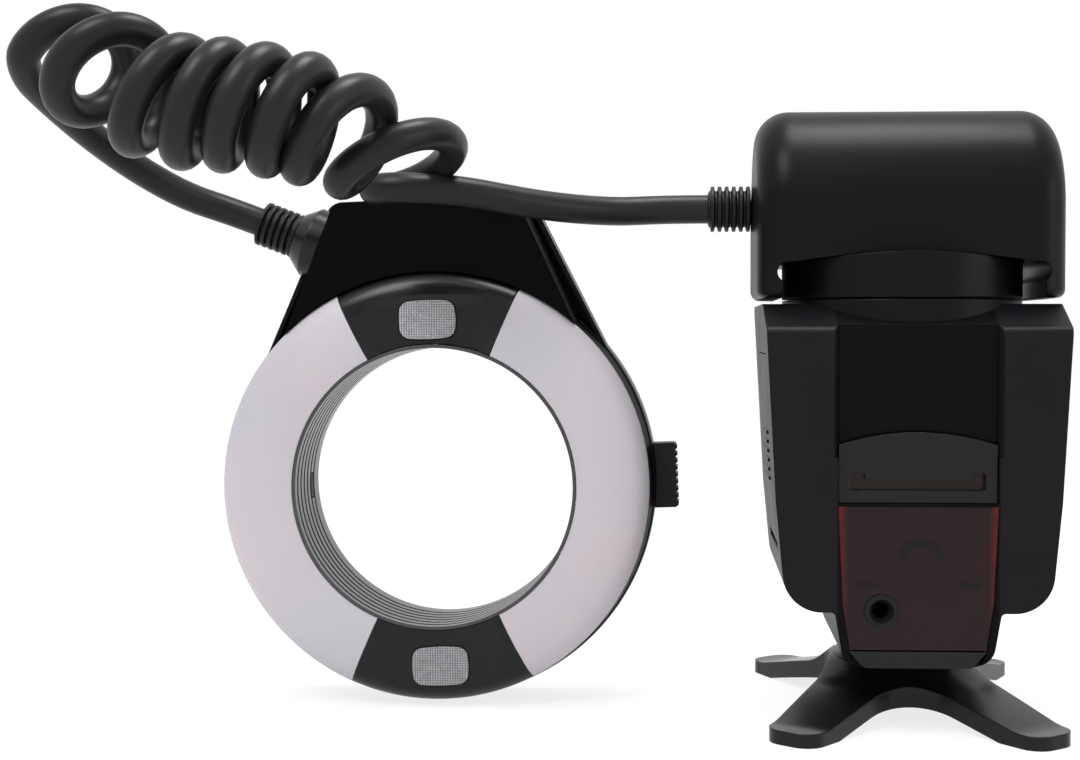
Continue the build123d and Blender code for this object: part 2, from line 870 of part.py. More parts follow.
# Free stretches of the cord
ring_boot_tip = ring_boot_base.offset(boot_length)
head_boot_tip = head_boot_base.offset(boot_length)
tail_first_run = 10.5
tail_last_run = 7.0
tail_bends = [(-115.0, -13.0, 129.5), (-122.0, -22.0, 137.0)]
lead_first_run = 8.0
lead_last_run = 11.0
lead_bends = [(-22.0, -18.5, 122.9), (-5.0, -7.0, 122.4)]
tail_route = [
    ring_boot_tip.origin,
    ring_boot_tip.origin + ring_boot_tip.z_dir * tail_first_run,
    *[Vector(*bend) for bend in tail_bends],
    tail_meets - coil_start_way * tail_last_run,
    tail_meets,
]
lead_route = [
    lead_meets,
    lead_meets + coil_end_way * lead_first_run,
    *[Vector(*bend) for bend in lead_bends],
    head_boot_tip.origin + head_boot_tip.z_dir * lead_last_run,
    head_boot_tip.origin,
]
for name, route in (("cord_ring_tail", tail_route), ("cord_head_lead", lead_route)):
    bend_radii = []
    for before, corner, after in zip(route, route[1:], route[2:]):
        shorter = min((corner - before).length, (after - corner).length)
        half_turn = radians((corner - before).get_angle(after - corner)) / 2
        bend_radii.append(0.45 * shorter / tan(half_turn))
    print(name, "bend radii", [round(bend, 1) for bend in bend_radii])
    with BuildPart() as cord:
        with BuildLine() as cord_path:
            FilletPolyline(*route, radius=bend_radii)
        with BuildSketch(Plane(origin=route[0], z_dir=route[1] - route[0])):
            Circle(cord_r)
        sweep(path=cord_path.wires()[0])
    share = cord.part.volume / (pi * cord_r**2 * cord_path.wires()[0].length)
    print(name, "volume over section times length", round(share, 3))
    pieces[name] = cord


def box_face(plane, x_from, x_to, y_from, y_to, corner=0):
    """Rectangle on a plane between two corners, its own corners rounded."""
    points = [(x_from, y_from), (x_to, y_from), (x_to, y_to), (x_from, y_to)]
    return face_of(plane, points, [corner] * 4)


def disc_face(plane, x, y, radius):
    """Round face at a spot of a plane."""
    with BuildSketch(plane) as sketch:
        with Locations((x, y)):
            Circle(radius)
    return sketch.sketch


# Control unit's head: a drum on top, cheeks at both sides of the swivel neck
head_corner = head_shoulder * 0.55
drum_plane = neck_plane(drum_z)
drum_axis = Axis((unit_x, neck_y, drum_z), (1, 0, 0))
head_plan = [
    (head_half, 0),
    (head_half - head_end_bulge, drum_r),
    (-head_half + head_end_bulge, drum_r),
    (-head_half, 0),
]
plan_back = head_plan + [(-x, -y) for x, y in head_plan[1:3]]
plan_radii = [0, head_corner, head_corner, 0, head_corner, head_corner]
inner_plan = [
    (head_half - head_wall, 0),
    (head_half - head_end_bulge - head_wall, drum_r - head_wall),
    (-head_half + head_end_bulge + head_wall, drum_r - head_wall),
    (-head_half + head_wall, 0),
]
inner_radii = [0, head_corner - head_wall, head_corner - head_wall, 0]
inner_back = inner_plan + [(-x, -y) for x, y in inner_plan[1:3]]
head_floor_z = head_under_z + arch_rise + head_wall
arch_plane = front_plane(neck_y - neck_r - overrun)
arch_depth = 2 * neck_r + 2 * overrun


def arch_face(plane, drop=0):
    """The space under the head: square with round corners, and arched on top."""
    with BuildSketch(plane) as sketch:
        with BuildLine():
            low = cheek_z - overrun
            half = cheek_in - drop
            top = head_under_z - drop
            side = FilletPolyline(
                (arch_half, top), (half, top), (half, low), (-half, low), (-half, top), (-arch_half, top),
                radius=[head_under_round / 3, 0, 0, head_under_round / 3],
            )
            ThreePointArc(side @ 1, (0, top + arch_rise), side @ 0)
        make_face()
    return sketch.sketch


with BuildPart() as head_housing:
    extrude(face_of(neck_plane(cheek_z), plan_back, plan_radii), amount=drum_z - cheek_z)
    bottom_edges = head_housing.faces().sort_by(Axis.Z)[0].edges()
    fillet(bottom_edges, cheek_round / 2)
    drum_half = face_of(drum_plane, head_plan, [0, head_corner, head_corner, 0])
    revolve(drum_half, axis=drum_axis, revolution_arc=180)
    extrude(arch_face(arch_plane), amount=-arch_depth, mode=Mode.SUBTRACT)
    for side in (-1, 1):
        notch = disc_face(arch_plane, side * notch_x, notch_z, notch_r)
        extrude(notch, amount=-arch_depth, mode=Mode.SUBTRACT)
    inner_half = face_of(drum_plane, inner_plan, inner_radii)
    revolve(inner_half, axis=drum_axis, revolution_arc=180, mode=Mode.SUBTRACT)
    inner_floor = face_of(neck_plane(head_floor_z), inner_back, inner_radii + inner_radii[1:3])
    extrude(inner_floor, amount=drum_z - head_floor_z, mode=Mode.SUBTRACT)
pieces["head_housing"] = head_housing

capacitor_r = (drum_r - head_wall) * 5 / 8
capacitor_half = head_half * 2 / 3
with BuildPart() as main_capacitor:
    can_plane = Plane(
        origin=(unit_x - capacitor_half, neck_y, head_floor_z + seat_gap + capacitor_r), z_dir=(1, 0, 0)
    )
    with BuildSketch(can_plane):
        Circle(capacitor_r)
    extrude(amount=2 * capacitor_half)
    fillet(main_capacitor.edges(), ring_wall)
pieces["main_capacitor"] = main_capacitor

# Swivel: neck on the head, turntable on the body, and the hollow pivot that holds them
with BuildPart() as swivel_neck:
    extrude(disc_face(neck_plane(cheek_z), 0, 0, neck_r), amount=head_under_z + arch_rise - cheek_z)
    extrude(arch_face(arch_plane, seat_gap), amount=-arch_depth, mode=Mode.INTERSECT)
    hollow_height = head_under_z - cheek_z - neck_wall
    hollow = disc_face(neck_plane(cheek_z + neck_wall), 0, 0, neck_r - neck_wall)
    extrude(hollow, amount=hollow_height + neck_wall, mode=Mode.SUBTRACT)
    socket = disc_face(neck_plane(cheek_z - overrun), 0, 0, pivot_r + seat_gap)
    extrude(socket, amount=neck_wall + 2 * overrun, mode=Mode.SUBTRACT)
pieces["swivel_neck"] = swivel_neck

hub_wall = neck_wall
with BuildPart() as body_turntable:
    table_outline = [
        (pivot_r + shaft_gap, turntable_base_z),
        (pivot_r + hub_wall, turntable_base_z),
        (pivot_r + hub_wall, turntable_top_z - neck_wall),
        (neck_r - neck_wall, turntable_top_z - neck_wall),
        (neck_r - neck_wall, turntable_base_z),
        (neck_r - seat_gap, turntable_base_z),
        (neck_r - seat_gap, turntable_top_z),
        (pivot_r + shaft_gap, turntable_top_z),
    ]
    revolve(turned_face(neck_plane(0), table_outline), axis=base_axis(neck_plane(0)))
pieces["body_turntable"] = body_turntable

flange_top_z = turntable_base_z - run_gap
with BuildPart() as swivel_pivot:
    pivot_outline = [
        (pivot_bore_r, flange_top_z - pivot_flange_thick),
        (pivot_flange_r, flange_top_z - pivot_flange_thick),
        (pivot_flange_r, flange_top_z),
        (pivot_r, flange_top_z),
        (pivot_r, pivot_top_z),
        (pivot_bore_r, pivot_top_z),
    ]
    revolve(turned_face(neck_plane(0), pivot_outline), axis=base_axis(neck_plane(0)))
pieces["swivel_pivot"] = swivel_pivot

# Body: one outer form, hollowed and split into a front and a rear shell
front_half_outline = [
    (column_foot_half, column_foot_z - seat_gap),
    (column_half, hip_z),
    (hip_half, hip_z),
    (waist_half, waist_z),
    (body_half, body_top_z + seat_gap),
]
front_half_radii = [column_foot_round, ring_wall, hip_round, 0, 0]
side_outline = [
    (body_front_y, column_foot_z),
    (column_back_y, column_foot_z),
    (column_back_y, hip_z),
    (body_back_y, hip_z),
    (body_back_y, body_top_z),
    (body_front_y + front_slope_run, body_top_z),
    (body_front_y, front_edge_z),
]
side_radii = [column_foot_round, body_edge, ring_wall, hip_round, body_edge, body_edge, body_edge]


def body_front_face(inset):
    """Front outline of the body, moved in by inset."""
    with BuildSketch(front_plane(body_front_y - overrun)) as sketch:
        with BuildLine():
            FilletPolyline(
                *mirrored(front_half_outline),
                radius=front_half_radii + front_half_radii[::-1],
                close=True,
            )
        make_face()
        if inset:
            offset(amount=-inset, kind=Kind.INTERSECTION, mode=Mode.REPLACE)
    return sketch.sketch


def body_side_face(inset):
    """Side outline of the body, moved in by inset."""
    with BuildSketch(side_plane(-body_half - overrun)) as sketch:
        with BuildLine():
            FilletPolyline(*side_outline, radius=side_radii, close=True)
        make_face()
        if inset:
            offset(amount=-inset, kind=Kind.INTERSECTION, mode=Mode.REPLACE)
    return sketch.sketch


def body_form(inset):
    """Solid of the body's outer form, moved in by inset."""
    with BuildPart() as form:
        extrude(body_front_face(inset), amount=-(body_back_y - body_front_y + 2 * overrun))
        extrude(body_side_face(inset), amount=2 * (body_half + overrun), mode=Mode.INTERSECT)
    return form.part


jack_barrel_r = jack_mouth_r + wall / 2
panel_floor_y = body_front_y + channel_depth + panel_thick / 2 + seat_gap
backing_y = panel_floor_y + wall
backing_half = column_half
shelf_z = turntable_base_z - seat_gap
opening_low_z = door_low_z - 2 * run_gap
opening_high_z = door_high_z - door_thick
door_pin_z = door_low_z + wall
door_edge_half = hip_half + (waist_half - hip_half) * (door_low_z - hip_z) / (waist_z - hip_z)
door_pin_x = -(door_edge_half - wall)
key_plane_y = body_back_y + overrun


def window_outline(plane, grow, low_z, high_z, half_top):
    """Outline of the red window and the strip under it, wider by grow."""
    half = [
        (window_foot_half - ring_wall + grow, low_z - grow),
        (window_foot_half + grow, window_foot_z),
        (window_mid_half + grow, window_mid_z),
        (half_top + grow, high_z + grow),
    ]
    return face_of(plane, mirrored(half))


def panel_outline(plane, grow):
    """Outline of the upper panel with its arched top, wider by grow."""
    with BuildSketch(plane) as sketch:
        with BuildLine():
            half = panel_width_half + grow
            Polyline(
                (half, panel_top_z), (half, panel_bottom_z - grow), (-half, panel_bottom_z - grow),
                (-half, panel_top_z),
            )
            ThreePointArc((-half, panel_top_z), (0, panel_top_z + panel_arch + grow), (half, panel_top_z))
        make_face()
    return sketch.sketch


foot_low_z = column_foot_z + panel_thick / 3
with BuildPart() as body:
    add(body_form(0))
    with BuildPart(mode=Mode.PRIVATE) as cavity:
        add(body_form(wall))
        backing = box_face(
            front_plane(backing_y), -backing_half, backing_half, 0, panel_top_z + panel_arch + wall
        )
        extrude(backing, amount=wall + 2 * overrun + channel_depth + panel_thick, mode=Mode.SUBTRACT)
        channel_back = box_face(
            front_plane(body_front_y + channel_depth + wall), -backing_half, backing_half, 0, body_top_z
        )
        extrude(channel_back, amount=channel_depth + wall + overrun, mode=Mode.SUBTRACT)
        shelf = box_face(
            neck_plane(shelf_z - wall), -body_half, body_half, -2 * neck_r, 2 * neck_r
        )
        extrude(shelf, amount=wall, mode=Mode.SUBTRACT)
    add(cavity.part, mode=Mode.SUBTRACT)
    shelf_hole = disc_face(neck_plane(shelf_z - wall - overrun), 0, 0, neck_r - neck_wall - seat_gap)
    extrude(shelf_hole, amount=wall + 2 * overrun, mode=Mode.SUBTRACT)
    table_hole = disc_face(neck_plane(shelf_z), 0, 0, neck_r)
    extrude(table_hole, amount=neck_r, mode=Mode.SUBTRACT)
    bevel = channel_depth * tan(radians(channel_bevel))
    channel_plan = [
        (-channel_half - bevel - overrun * tan(radians(channel_bevel)), body_front_y - overrun),
        (channel_half + bevel + overrun * tan(radians(channel_bevel)), body_front_y - overrun),
        (channel_half, body_front_y + channel_depth),
        (-channel_half, body_front_y + channel_depth),
    ]
    channel_cut = face_of(floor_plane(panel_top_z - panel_arch), channel_plan)
    extrude(channel_cut, amount=body_top_z, mode=Mode.SUBTRACT)
    pocket_plane = front_plane(panel_floor_y)
    pocket_depth = channel_depth + panel_thick + 2 * overrun
    extrude(panel_outline(pocket_plane, seat_gap), amount=pocket_depth, mode=Mode.SUBTRACT)
    lower_pocket = window_outline(pocket_plane, seat_gap, foot_low_z, window_top_z, window_half)
    extrude(lower_pocket, amount=pocket_depth, mode=Mode.SUBTRACT)
    insert_pocket = box_face(
        front_plane(panel_floor_y + wall / 2),
        -slot_half - wall, slot_half + wall, slot_low_z - wall, slot_low_z + slot_height + 2 * wall,
    )
    extrude(insert_pocket, amount=wall, mode=Mode.SUBTRACT)
    jack_hole = disc_face(front_plane(backing_y + overrun), jack_x, jack_z, jack_barrel_r + seat_gap)
    extrude(jack_hole, amount=wall + 2 * overrun, mode=Mode.SUBTRACT)
    door_hole = box_face(
        side_plane(-body_half - overrun), door_front_y, door_back_y, opening_low_z, opening_high_z
    )
    extrude(door_hole, amount=body_half / 3, mode=Mode.SUBTRACT)
    for near, far in ((door_front_y - wall, door_front_y), (door_back_y, door_back_y + wall)):
        lug = box_face(
            side_plane(door_pin_x - door_pin_r), near, far,
            opening_low_z - wall, door_pin_z + 2 * door_pin_r,
        )
        extrude(lug, amount=3 * door_pin_r)
        pin_hole = disc_face(
            Plane(origin=(unit_x + door_pin_x, near - seat_gap, 0), x_dir=(1, 0, 0), z_dir=(0, -1, 0)),
            0, door_pin_z, door_pin_r + shaft_gap,
        )
        extrude(pin_hole, amount=-(far - near + 2 * seat_gap), mode=Mode.SUBTRACT)
    window_hole = box_face(front_plane(key_plane_y), -lcd_half, lcd_half, lcd_low_z, lcd_high_z, body_edge)
    extrude(window_hole, amount=overrun + lcd_window_thick + seat_gap, mode=Mode.SUBTRACT)
    view_hole = box_face(
        front_plane(key_plane_y), -lcd_half + lcd_rim, lcd_half - lcd_rim,
        lcd_low_z + lcd_rim, lcd_high_z - lcd_rim,
    )
    extrude(view_hole, amount=wall + 2 * overrun, mode=Mode.SUBTRACT)
    with BuildSketch(front_plane(key_plane_y)):
        with Locations((0, soft_key_z)):
            with GridLocations(soft_key_pitch, 0, soft_keys, 1):
                RectangleRounded(
                    soft_key_width + 2 * run_gap, soft_key_height + 2 * run_gap, key_flange + run_gap
                )
        with Locations((0, pad_z)):
            Circle(pad_r + run_gap)
        with Locations((pilot_key_x, pilot_key_z)):
            Circle(pilot_key_r + run_gap)
        with Locations((switch_x, switch_z)):
            Rectangle(switch_width + 2 * run_gap, switch_height + switch_travel + 2 * run_gap)
        for spot_x in (-body_screw_x, body_screw_x):
            for spot_z in body_screw_heights:
                with Locations((spot_x, spot_z)):
                    Circle(screw_r + shaft_gap)
    extrude(amount=overrun + wall * 2, mode=Mode.SUBTRACT)

for name, near, far in (
    ("body_front_shell", body_front_y - overrun, body_seam_y - seat_gap / 2),
    ("body_rear_shell", body_seam_y + seat_gap / 2, body_back_y + overrun),
):
    with BuildPart() as shell_part:
        add(body.part)
        keep = box_face(floor_plane(0), -body_half - overrun, body_half + overrun, near, far)
        extrude(keep, amount=body_top_z + overrun, mode=Mode.INTERSECT)
    pieces[name] = shell_part

# Front trim: upper panel with its slot, insert, red window, mask and foot strip
with BuildPart() as front_upper_panel:
    panel_y = body_front_y + channel_depth / 2
    panel_depth = panel_floor_y - seat_gap - panel_y
    extrude(panel_outline(front_plane(panel_floor_y - seat_gap), 0), amount=panel_depth)
    slot_plane = front_plane(panel_y + panel_depth + overrun)
    slot_end_x = slot_half - slot_end_r
    slot_cut = box_face(
        slot_plane, -slot_half, slot_half, slot_low_z, slot_low_z + slot_height, slot_height / 3
    )
    extrude(slot_cut, amount=panel_depth + 2 * overrun, mode=Mode.SUBTRACT)
    for side in (-1, 1):
        end_cut = box_face(
            slot_plane, side * slot_end_x - slot_end_r, side * slot_end_x + slot_end_r,
            slot_low_z + slot_height / 3, slot_low_z + slot_end_rise + slot_height / 3, slot_height / 3,
        )
        extrude(end_cut, amount=panel_depth + 2 * overrun, mode=Mode.SUBTRACT)
pieces["front_upper_panel"] = front_upper_panel

with BuildPart() as slot_insert:
    insert_face = box_face(
        front_plane(panel_floor_y + wall / 2 - seat_gap),
        -slot_half - wall + seat_gap, slot_half + wall - seat_gap,
        slot_low_z - wall + seat_gap, slot_low_z + slot_height + 2 * wall - seat_gap, seat_gap,
    )
    extrude(insert_face, amount=wall / 2)
pieces["slot_insert"] = slot_insert

mask_back_y = panel_floor_y - seat_gap
window_y = mask_back_y - mask_thick - mask_gap
with BuildPart() as red_window:
    window_low_z = window_foot_z + mask_gap
    glass = window_outline(
        front_plane(window_y), 0, window_low_z, window_top_z, window_half
    )
    extrude(glass, amount=window_thick)
    jack_clear = disc_face(front_plane(window_y + overrun), jack_x, jack_z, jack_barrel_r + seat_gap)
    extrude(jack_clear, amount=window_thick + 2 * overrun, mode=Mode.SUBTRACT)
pieces["red_window"] = red_window

with BuildPart() as aperture_mask:
    sheet = window_outline(
        front_plane(mask_back_y), -mask_gap, window_low_z + mask_gap, window_top_z, window_half
    )
    extrude(sheet, amount=mask_thick)
    mask_cut = front_plane(mask_back_y + overrun)
    arc_outer = arc_slot_r + arc_slot_width / 2
    arc_inner = arc_slot_r - arc_slot_width / 2
    low = radians(90 - arc_slot_half_angle)
    with BuildSketch(mask_cut):
        with BuildLine():
            ends = []
            for radius in (arc_outer, arc_inner):
                right = (radius * cos(low), arc_slot_z + radius * sin(low))
                crest = (0, arc_slot_z + radius)
                ThreePointArc(right, crest, (-right[0], right[1]))
                ends.append(right)
            Line(*ends)
            Line(*[(-x, z) for x, z in ends])
        make_face()
        for side in (-1, 1):
            with Locations((side * bar_x, bar_z)):
                Rectangle(bar_width, bar_height)
        with Locations((jack_x, jack_z)):
            Circle(jack_barrel_r + seat_gap)
    extrude(amount=mask_thick + 2 * overrun, mode=Mode.SUBTRACT)
pieces["aperture_mask"] = aperture_mask

with BuildPart() as foot_trim:
    trim = [
        (window_foot_half - ring_wall * 3, foot_low_z),
        (window_foot_half, window_foot_z - mask_gap),
    ]
    trim_radii = [ring_wall * 2, 0, 0, ring_wall * 2]
    trim_face = face_of(front_plane(mask_back_y), mirrored(trim), trim_radii)
    extrude(trim_face, amount=mask_back_y - window_y + window_thick)
pieces["foot_trim"] = foot_trim

with BuildPart() as sync_jack:
    jack_front_y = window_y - window_thick - ring_wall / 2
    jack_base = Plane(origin=(unit_x + jack_x, jack_front_y, jack_z), x_dir=(1, 0, 0), z_dir=(0, 1, 0))
    jack_outline = [
        (jack_mouth_r, 0),
        (jack_collar_r, 0),
        (jack_collar_r, ring_wall / 2 - seat_gap),
        (jack_barrel_r, ring_wall / 2 - seat_gap),
        (jack_barrel_r, jack_recess + jack_depth + wall),
        (0, jack_recess + jack_depth + wall),
        (0, jack_recess + jack_depth),
        (jack_bore_r, jack_recess + jack_depth),
        (jack_bore_r, jack_recess),
    ]
    revolve(turned_face(jack_base, jack_outline), axis=base_axis(jack_base))
pieces["sync_jack"] = sync_jack

# Battery compartment: frame, contact plates and four upright cells
cells_x_low = cell_mid_x - cell_pitch / 2 - cell_r - seat_gap
cells_x_high = cell_mid_x + cell_pitch / 2 + cell_r + seat_gap
cells_y_low = cell_mid_y - cell_pitch / 2 - cell_r - seat_gap
cells_y_high = cell_mid_y + cell_pitch / 2 + cell_r + seat_gap
frame_high_z = flange_top_z - pivot_flange_thick - run_gap
frame_low_z = cell_base_z - contact_thick - seat_gap
cell_top_z = cell_base_z + cell_length
with BuildPart() as battery_frame:
    holder = box_face(
        floor_plane(frame_low_z - frame_wall), cells_x_low, cells_x_high + frame_wall,
        cells_y_low - frame_wall, cells_y_high + frame_wall,
    )
    extrude(holder, amount=frame_high_z - frame_low_z + frame_wall)
    inside = box_face(
        floor_plane(frame_low_z), cells_x_low - overrun, cells_x_high, cells_y_low, cells_y_high
    )
    extrude(inside, amount=frame_high_z - frame_wall - frame_low_z, mode=Mode.SUBTRACT)
pieces["battery_frame"] = battery_frame

with BuildPart() as battery_contacts:
    for side in (-1, 1):
        contact_low = box_face(
            floor_plane(frame_low_z), cells_x_low + frame_wall, cells_x_high - frame_wall,
            cell_mid_y + side * cell_pitch / 2 - contact_reach,
            cell_mid_y + side * cell_pitch / 2 + contact_reach, frame_wall,
        )
        extrude(contact_low, amount=contact_thick)
    for side in (-1, 1):
        contact_high = box_face(
            floor_plane(frame_high_z - frame_wall - contact_thick),
            cell_mid_x + side * cell_pitch / 2 - contact_reach,
            cell_mid_x + side * cell_pitch / 2 + contact_reach,
            cells_y_low + frame_wall, cells_y_high - frame_wall, frame_wall,
        )
        extrude(contact_high, amount=contact_thick)
pieces["battery_contacts"] = battery_contacts

with BuildPart() as battery_cells:
    with BuildSketch(floor_plane(cell_base_z)):
        with Locations((cell_mid_x, cell_mid_y)):
            with GridLocations(cell_pitch, cell_pitch, 2, 2):
                Circle(cell_r)
    extrude(amount=cell_length)
    fillet(battery_cells.edges(), contact_thick)
    with BuildSketch(floor_plane(cell_top_z)):
        with Locations((cell_mid_x, cell_mid_y)):
            with GridLocations(cell_pitch, cell_pitch, 2, 2):
                Circle(cell_nub_r)
    extrude(amount=cell_nub)
pieces["battery_cells"] = battery_cells

# Battery door: a panel of the body's left side on a pin along its lower edge
door_low_edge = door_pin_z
with BuildPart() as battery_door:
    add(body_form(0))
    add(body_form(door_thick), mode=Mode.SUBTRACT)
    door_face = box_face(
        side_plane(-body_half - overrun), door_front_y + run_gap, door_back_y - run_gap,
        door_low_edge, opening_high_z - run_gap,
    )
    extrude(door_face, amount=body_half / 3, mode=Mode.INTERSECT)
    barrel_plane = Plane(
        origin=(unit_x + door_pin_x, door_front_y + run_gap, 0), x_dir=(1, 0, 0), z_dir=(0, -1, 0)
    )
    door_span = door_back_y - door_front_y - 2 * run_gap
    extrude(disc_face(barrel_plane, 0, door_pin_z, wall - seat_gap), amount=-door_span)
    pin_plane = barrel_plane.offset(wall)
    extrude(disc_face(pin_plane, 0, door_pin_z, door_pin_r), amount=-(door_span + 2 * wall))
    slope = (waist_half - hip_half) / (waist_z - hip_z)
    upper_slope = (body_half - waist_half) / (body_top_z - waist_z)
    for index in range(door_ridges):
        ridge_z = ridge_low_z + index * ridge_pitch
        ridge_x = -(waist_half + (ridge_z - waist_z) * upper_slope)
        ridge = disc_face(
            Plane(origin=(unit_x, cell_mid_y + cell_r, 0), x_dir=(1, 0, 0), z_dir=(0, -1, 0)),
            ridge_x, ridge_z, ridge_height,
        )
        extrude(ridge, amount=2 * cell_r)
pieces["battery_door"] = battery_door

# Circuit board, display and the keys on the back
wall_back_y = body_back_y - wall
key_flange_y = wall_back_y - run_gap
board_back_y = key_flange_y - 2 * key_flange_thick - 3 * wall
with BuildPart() as main_board:
    board_face = box_face(
        front_plane(board_back_y), -board_half, board_half, board_low_z, board_high_z - overrun, wall
    )
    extrude(board_face, amount=board_thick)
pieces["main_board"] = main_board

with BuildPart() as lcd_module:
    lcd_face = box_face(
        front_plane(wall_back_y - seat_gap), -lcd_half - wall, lcd_half + wall,
        lcd_low_z - wall / 2, lcd_high_z - wall / 2,
    )
    extrude(lcd_face, amount=lcd_glass_thick)
    back_light = box_face(
        front_plane(wall_back_y - seat_gap - lcd_glass_thick), -lcd_half + wall, lcd_half - wall,
        lcd_low_z + wall, lcd_high_z - 2 * wall,
    )
    extrude(back_light, amount=wall_back_y - 2 * seat_gap - lcd_glass_thick - board_back_y)
pieces["lcd_module"] = lcd_module

with BuildPart() as lcd_window:
    lcd_cover = box_face(
        front_plane(body_back_y), -lcd_half + seat_gap, lcd_half - seat_gap,
        lcd_low_z + seat_gap, lcd_high_z - seat_gap, body_edge - seat_gap,
    )
    extrude(lcd_cover, amount=lcd_window_thick)
pieces["lcd_window"] = lcd_window

stem_front_y = board_back_y + key_travel + run_gap
cap_back_y = body_back_y + key_proud
for index in range(soft_keys):
    with BuildPart() as soft_key:
        key_x = (index - (soft_keys - 1) / 2) * soft_key_pitch
        half_w = soft_key_width / 2
        half_h = soft_key_height / 2
        cap = box_face(
            front_plane(cap_back_y), key_x - half_w, key_x + half_w,
            soft_key_z - half_h, soft_key_z + half_h, key_flange,
        )
        extrude(cap, amount=cap_back_y - key_flange_y)
        fillet(soft_key.faces().sort_by(Axis.Y)[-1].edges(), run_gap)
        rim = box_face(
            front_plane(key_flange_y), key_x - half_w - key_flange, key_x + half_w + key_flange,
            soft_key_z - half_h - key_flange, soft_key_z + half_h + key_flange,
        )
        extrude(rim, amount=key_flange_thick)
        stem = disc_face(front_plane(key_flange_y), key_x, soft_key_z, screw_r)
        extrude(stem, amount=key_flange_y - stem_front_y)
    pieces["soft_key_" + str(index + 1)] = soft_key

with BuildPart() as pad_key:
    extrude(disc_face(front_plane(cap_back_y), 0, pad_z, pad_r), amount=cap_back_y - key_flange_y)
    fillet(pad_key.faces().sort_by(Axis.Y)[-1].edges(), run_gap)
    pad_rim = disc_face(front_plane(key_flange_y), 0, pad_z, pad_r + key_flange)
    extrude(pad_rim, amount=key_flange_thick)
    pad_hole = disc_face(front_plane(cap_back_y + overrun), 0, pad_z, pad_in_r)
    extrude(pad_hole, amount=2 * overrun + pad_r, mode=Mode.SUBTRACT)
    with BuildSketch(front_plane(key_flange_y)):
        with Locations((0, pad_z)):
            with PolarLocations((pad_r + pad_in_r) / 2, 4):
                Circle(screw_r)
    extrude(amount=key_flange_y - stem_front_y)
pieces["pad_key"] = pad_key

set_flange_y = key_flange_y - key_flange_thick - key_travel - run_gap
with BuildPart() as set_key:
    extrude(disc_face(front_plane(cap_back_y), 0, pad_z, set_key_r), amount=cap_back_y - set_flange_y)
    fillet(set_key.faces().sort_by(Axis.Y)[-1].edges(), run_gap)
    set_rim = disc_face(front_plane(set_flange_y), 0, pad_z, pad_in_r + run_gap)
    extrude(set_rim, amount=key_flange_thick)
    extrude(disc_face(front_plane(set_flange_y), 0, pad_z, screw_r), amount=set_flange_y - stem_front_y)
pieces["set_key"] = set_key

with BuildPart() as pilot_key:
    pilot_cap = disc_face(front_plane(cap_back_y), pilot_key_x, pilot_key_z, pilot_key_r)
    extrude(pilot_cap, amount=cap_back_y - key_flange_y)
    fillet(pilot_key.faces().sort_by(Axis.Y)[-1].edges(), run_gap)
    pilot_rim = disc_face(
        front_plane(key_flange_y), pilot_key_x, pilot_key_z, pilot_key_r + key_flange
    )
    extrude(pilot_rim, amount=key_flange_thick)
    pilot_stem = disc_face(front_plane(key_flange_y), pilot_key_x, pilot_key_z, screw_r)
    extrude(pilot_stem, amount=key_flange_y - stem_front_y)
pieces["pilot_key"] = pilot_key

# Power switch, at the lower end of its slot
switch_low_z = switch_z - (switch_height + switch_travel) / 2
with BuildPart() as power_switch:
    knob_y = body_back_y + switch_proud
    knob = box_face(
        front_plane(knob_y), switch_x - switch_width / 2, switch_x + switch_width / 2,
        switch_low_z, switch_low_z + switch_height, key_flange,
    )
    extrude(knob, amount=knob_y - key_flange_y)
    carrier = box_face(
        front_plane(key_flange_y), switch_x - switch_width, switch_x + switch_width,
        switch_low_z - key_flange, switch_low_z + switch_height + switch_travel + key_flange,
    )
    extrude(carrier, amount=key_flange_thick)
    grip = box_face(
        front_plane(knob_y), switch_x - switch_width / 2 - overrun, switch_x + switch_width / 2 + overrun,
        switch_low_z + switch_height / 2 - ridge_height, switch_low_z + switch_height / 2 + ridge_height,
    )
    extrude(grip, amount=ridge_height, mode=Mode.SUBTRACT)
pieces["power_switch"] = power_switch

# Screws in the back
with BuildPart() as body_screws:
    for height, radius, depth in (
        (body_back_y + screw_head_thick, screw_head_r, screw_head_thick),
        (body_back_y, screw_r, screw_length),
    ):
        with BuildSketch(front_plane(height)):
            for spot_x in (-body_screw_x, body_screw_x):
                for spot_z in body_screw_heights:
                    with Locations((spot_x, spot_z)):
                        Circle(radius)
        extrude(amount=depth)
pieces["body_screws"] = body_screws

# Hot shoe foot under the column, with its lock pin and lever
block_low_z = stand_top_z + foot_block_gap
foot_top_z = foot_base_z + foot_thick
block_front_y = foot_block_y - foot_length / 2 - wall * 3
block_back_y = column_back_y - wall
with BuildPart() as foot_block:
    block = box_face(
        floor_plane(block_low_z), -foot_block_half, foot_block_half, block_front_y, block_back_y, overrun
    )
    extrude(block, amount=column_foot_z - seat_gap - block_low_z)
    neck_half = foot_neck_width / 2
    half_length = foot_length / 2
    neck_face = box_face(
        floor_plane(foot_top_z + seat_gap), -neck_half, neck_half,
        foot_block_y - half_length, foot_block_y + half_length,
    )
    extrude(neck_face, amount=block_low_z - foot_top_z)
    pin_way = disc_face(
        floor_plane(foot_top_z - overrun), 0, foot_block_y + lock_pin_y, lock_pin_r + shaft_gap
    )
    extrude(pin_way, amount=2 * overrun + block_low_z, mode=Mode.SUBTRACT)
pieces["foot_block"] = foot_block

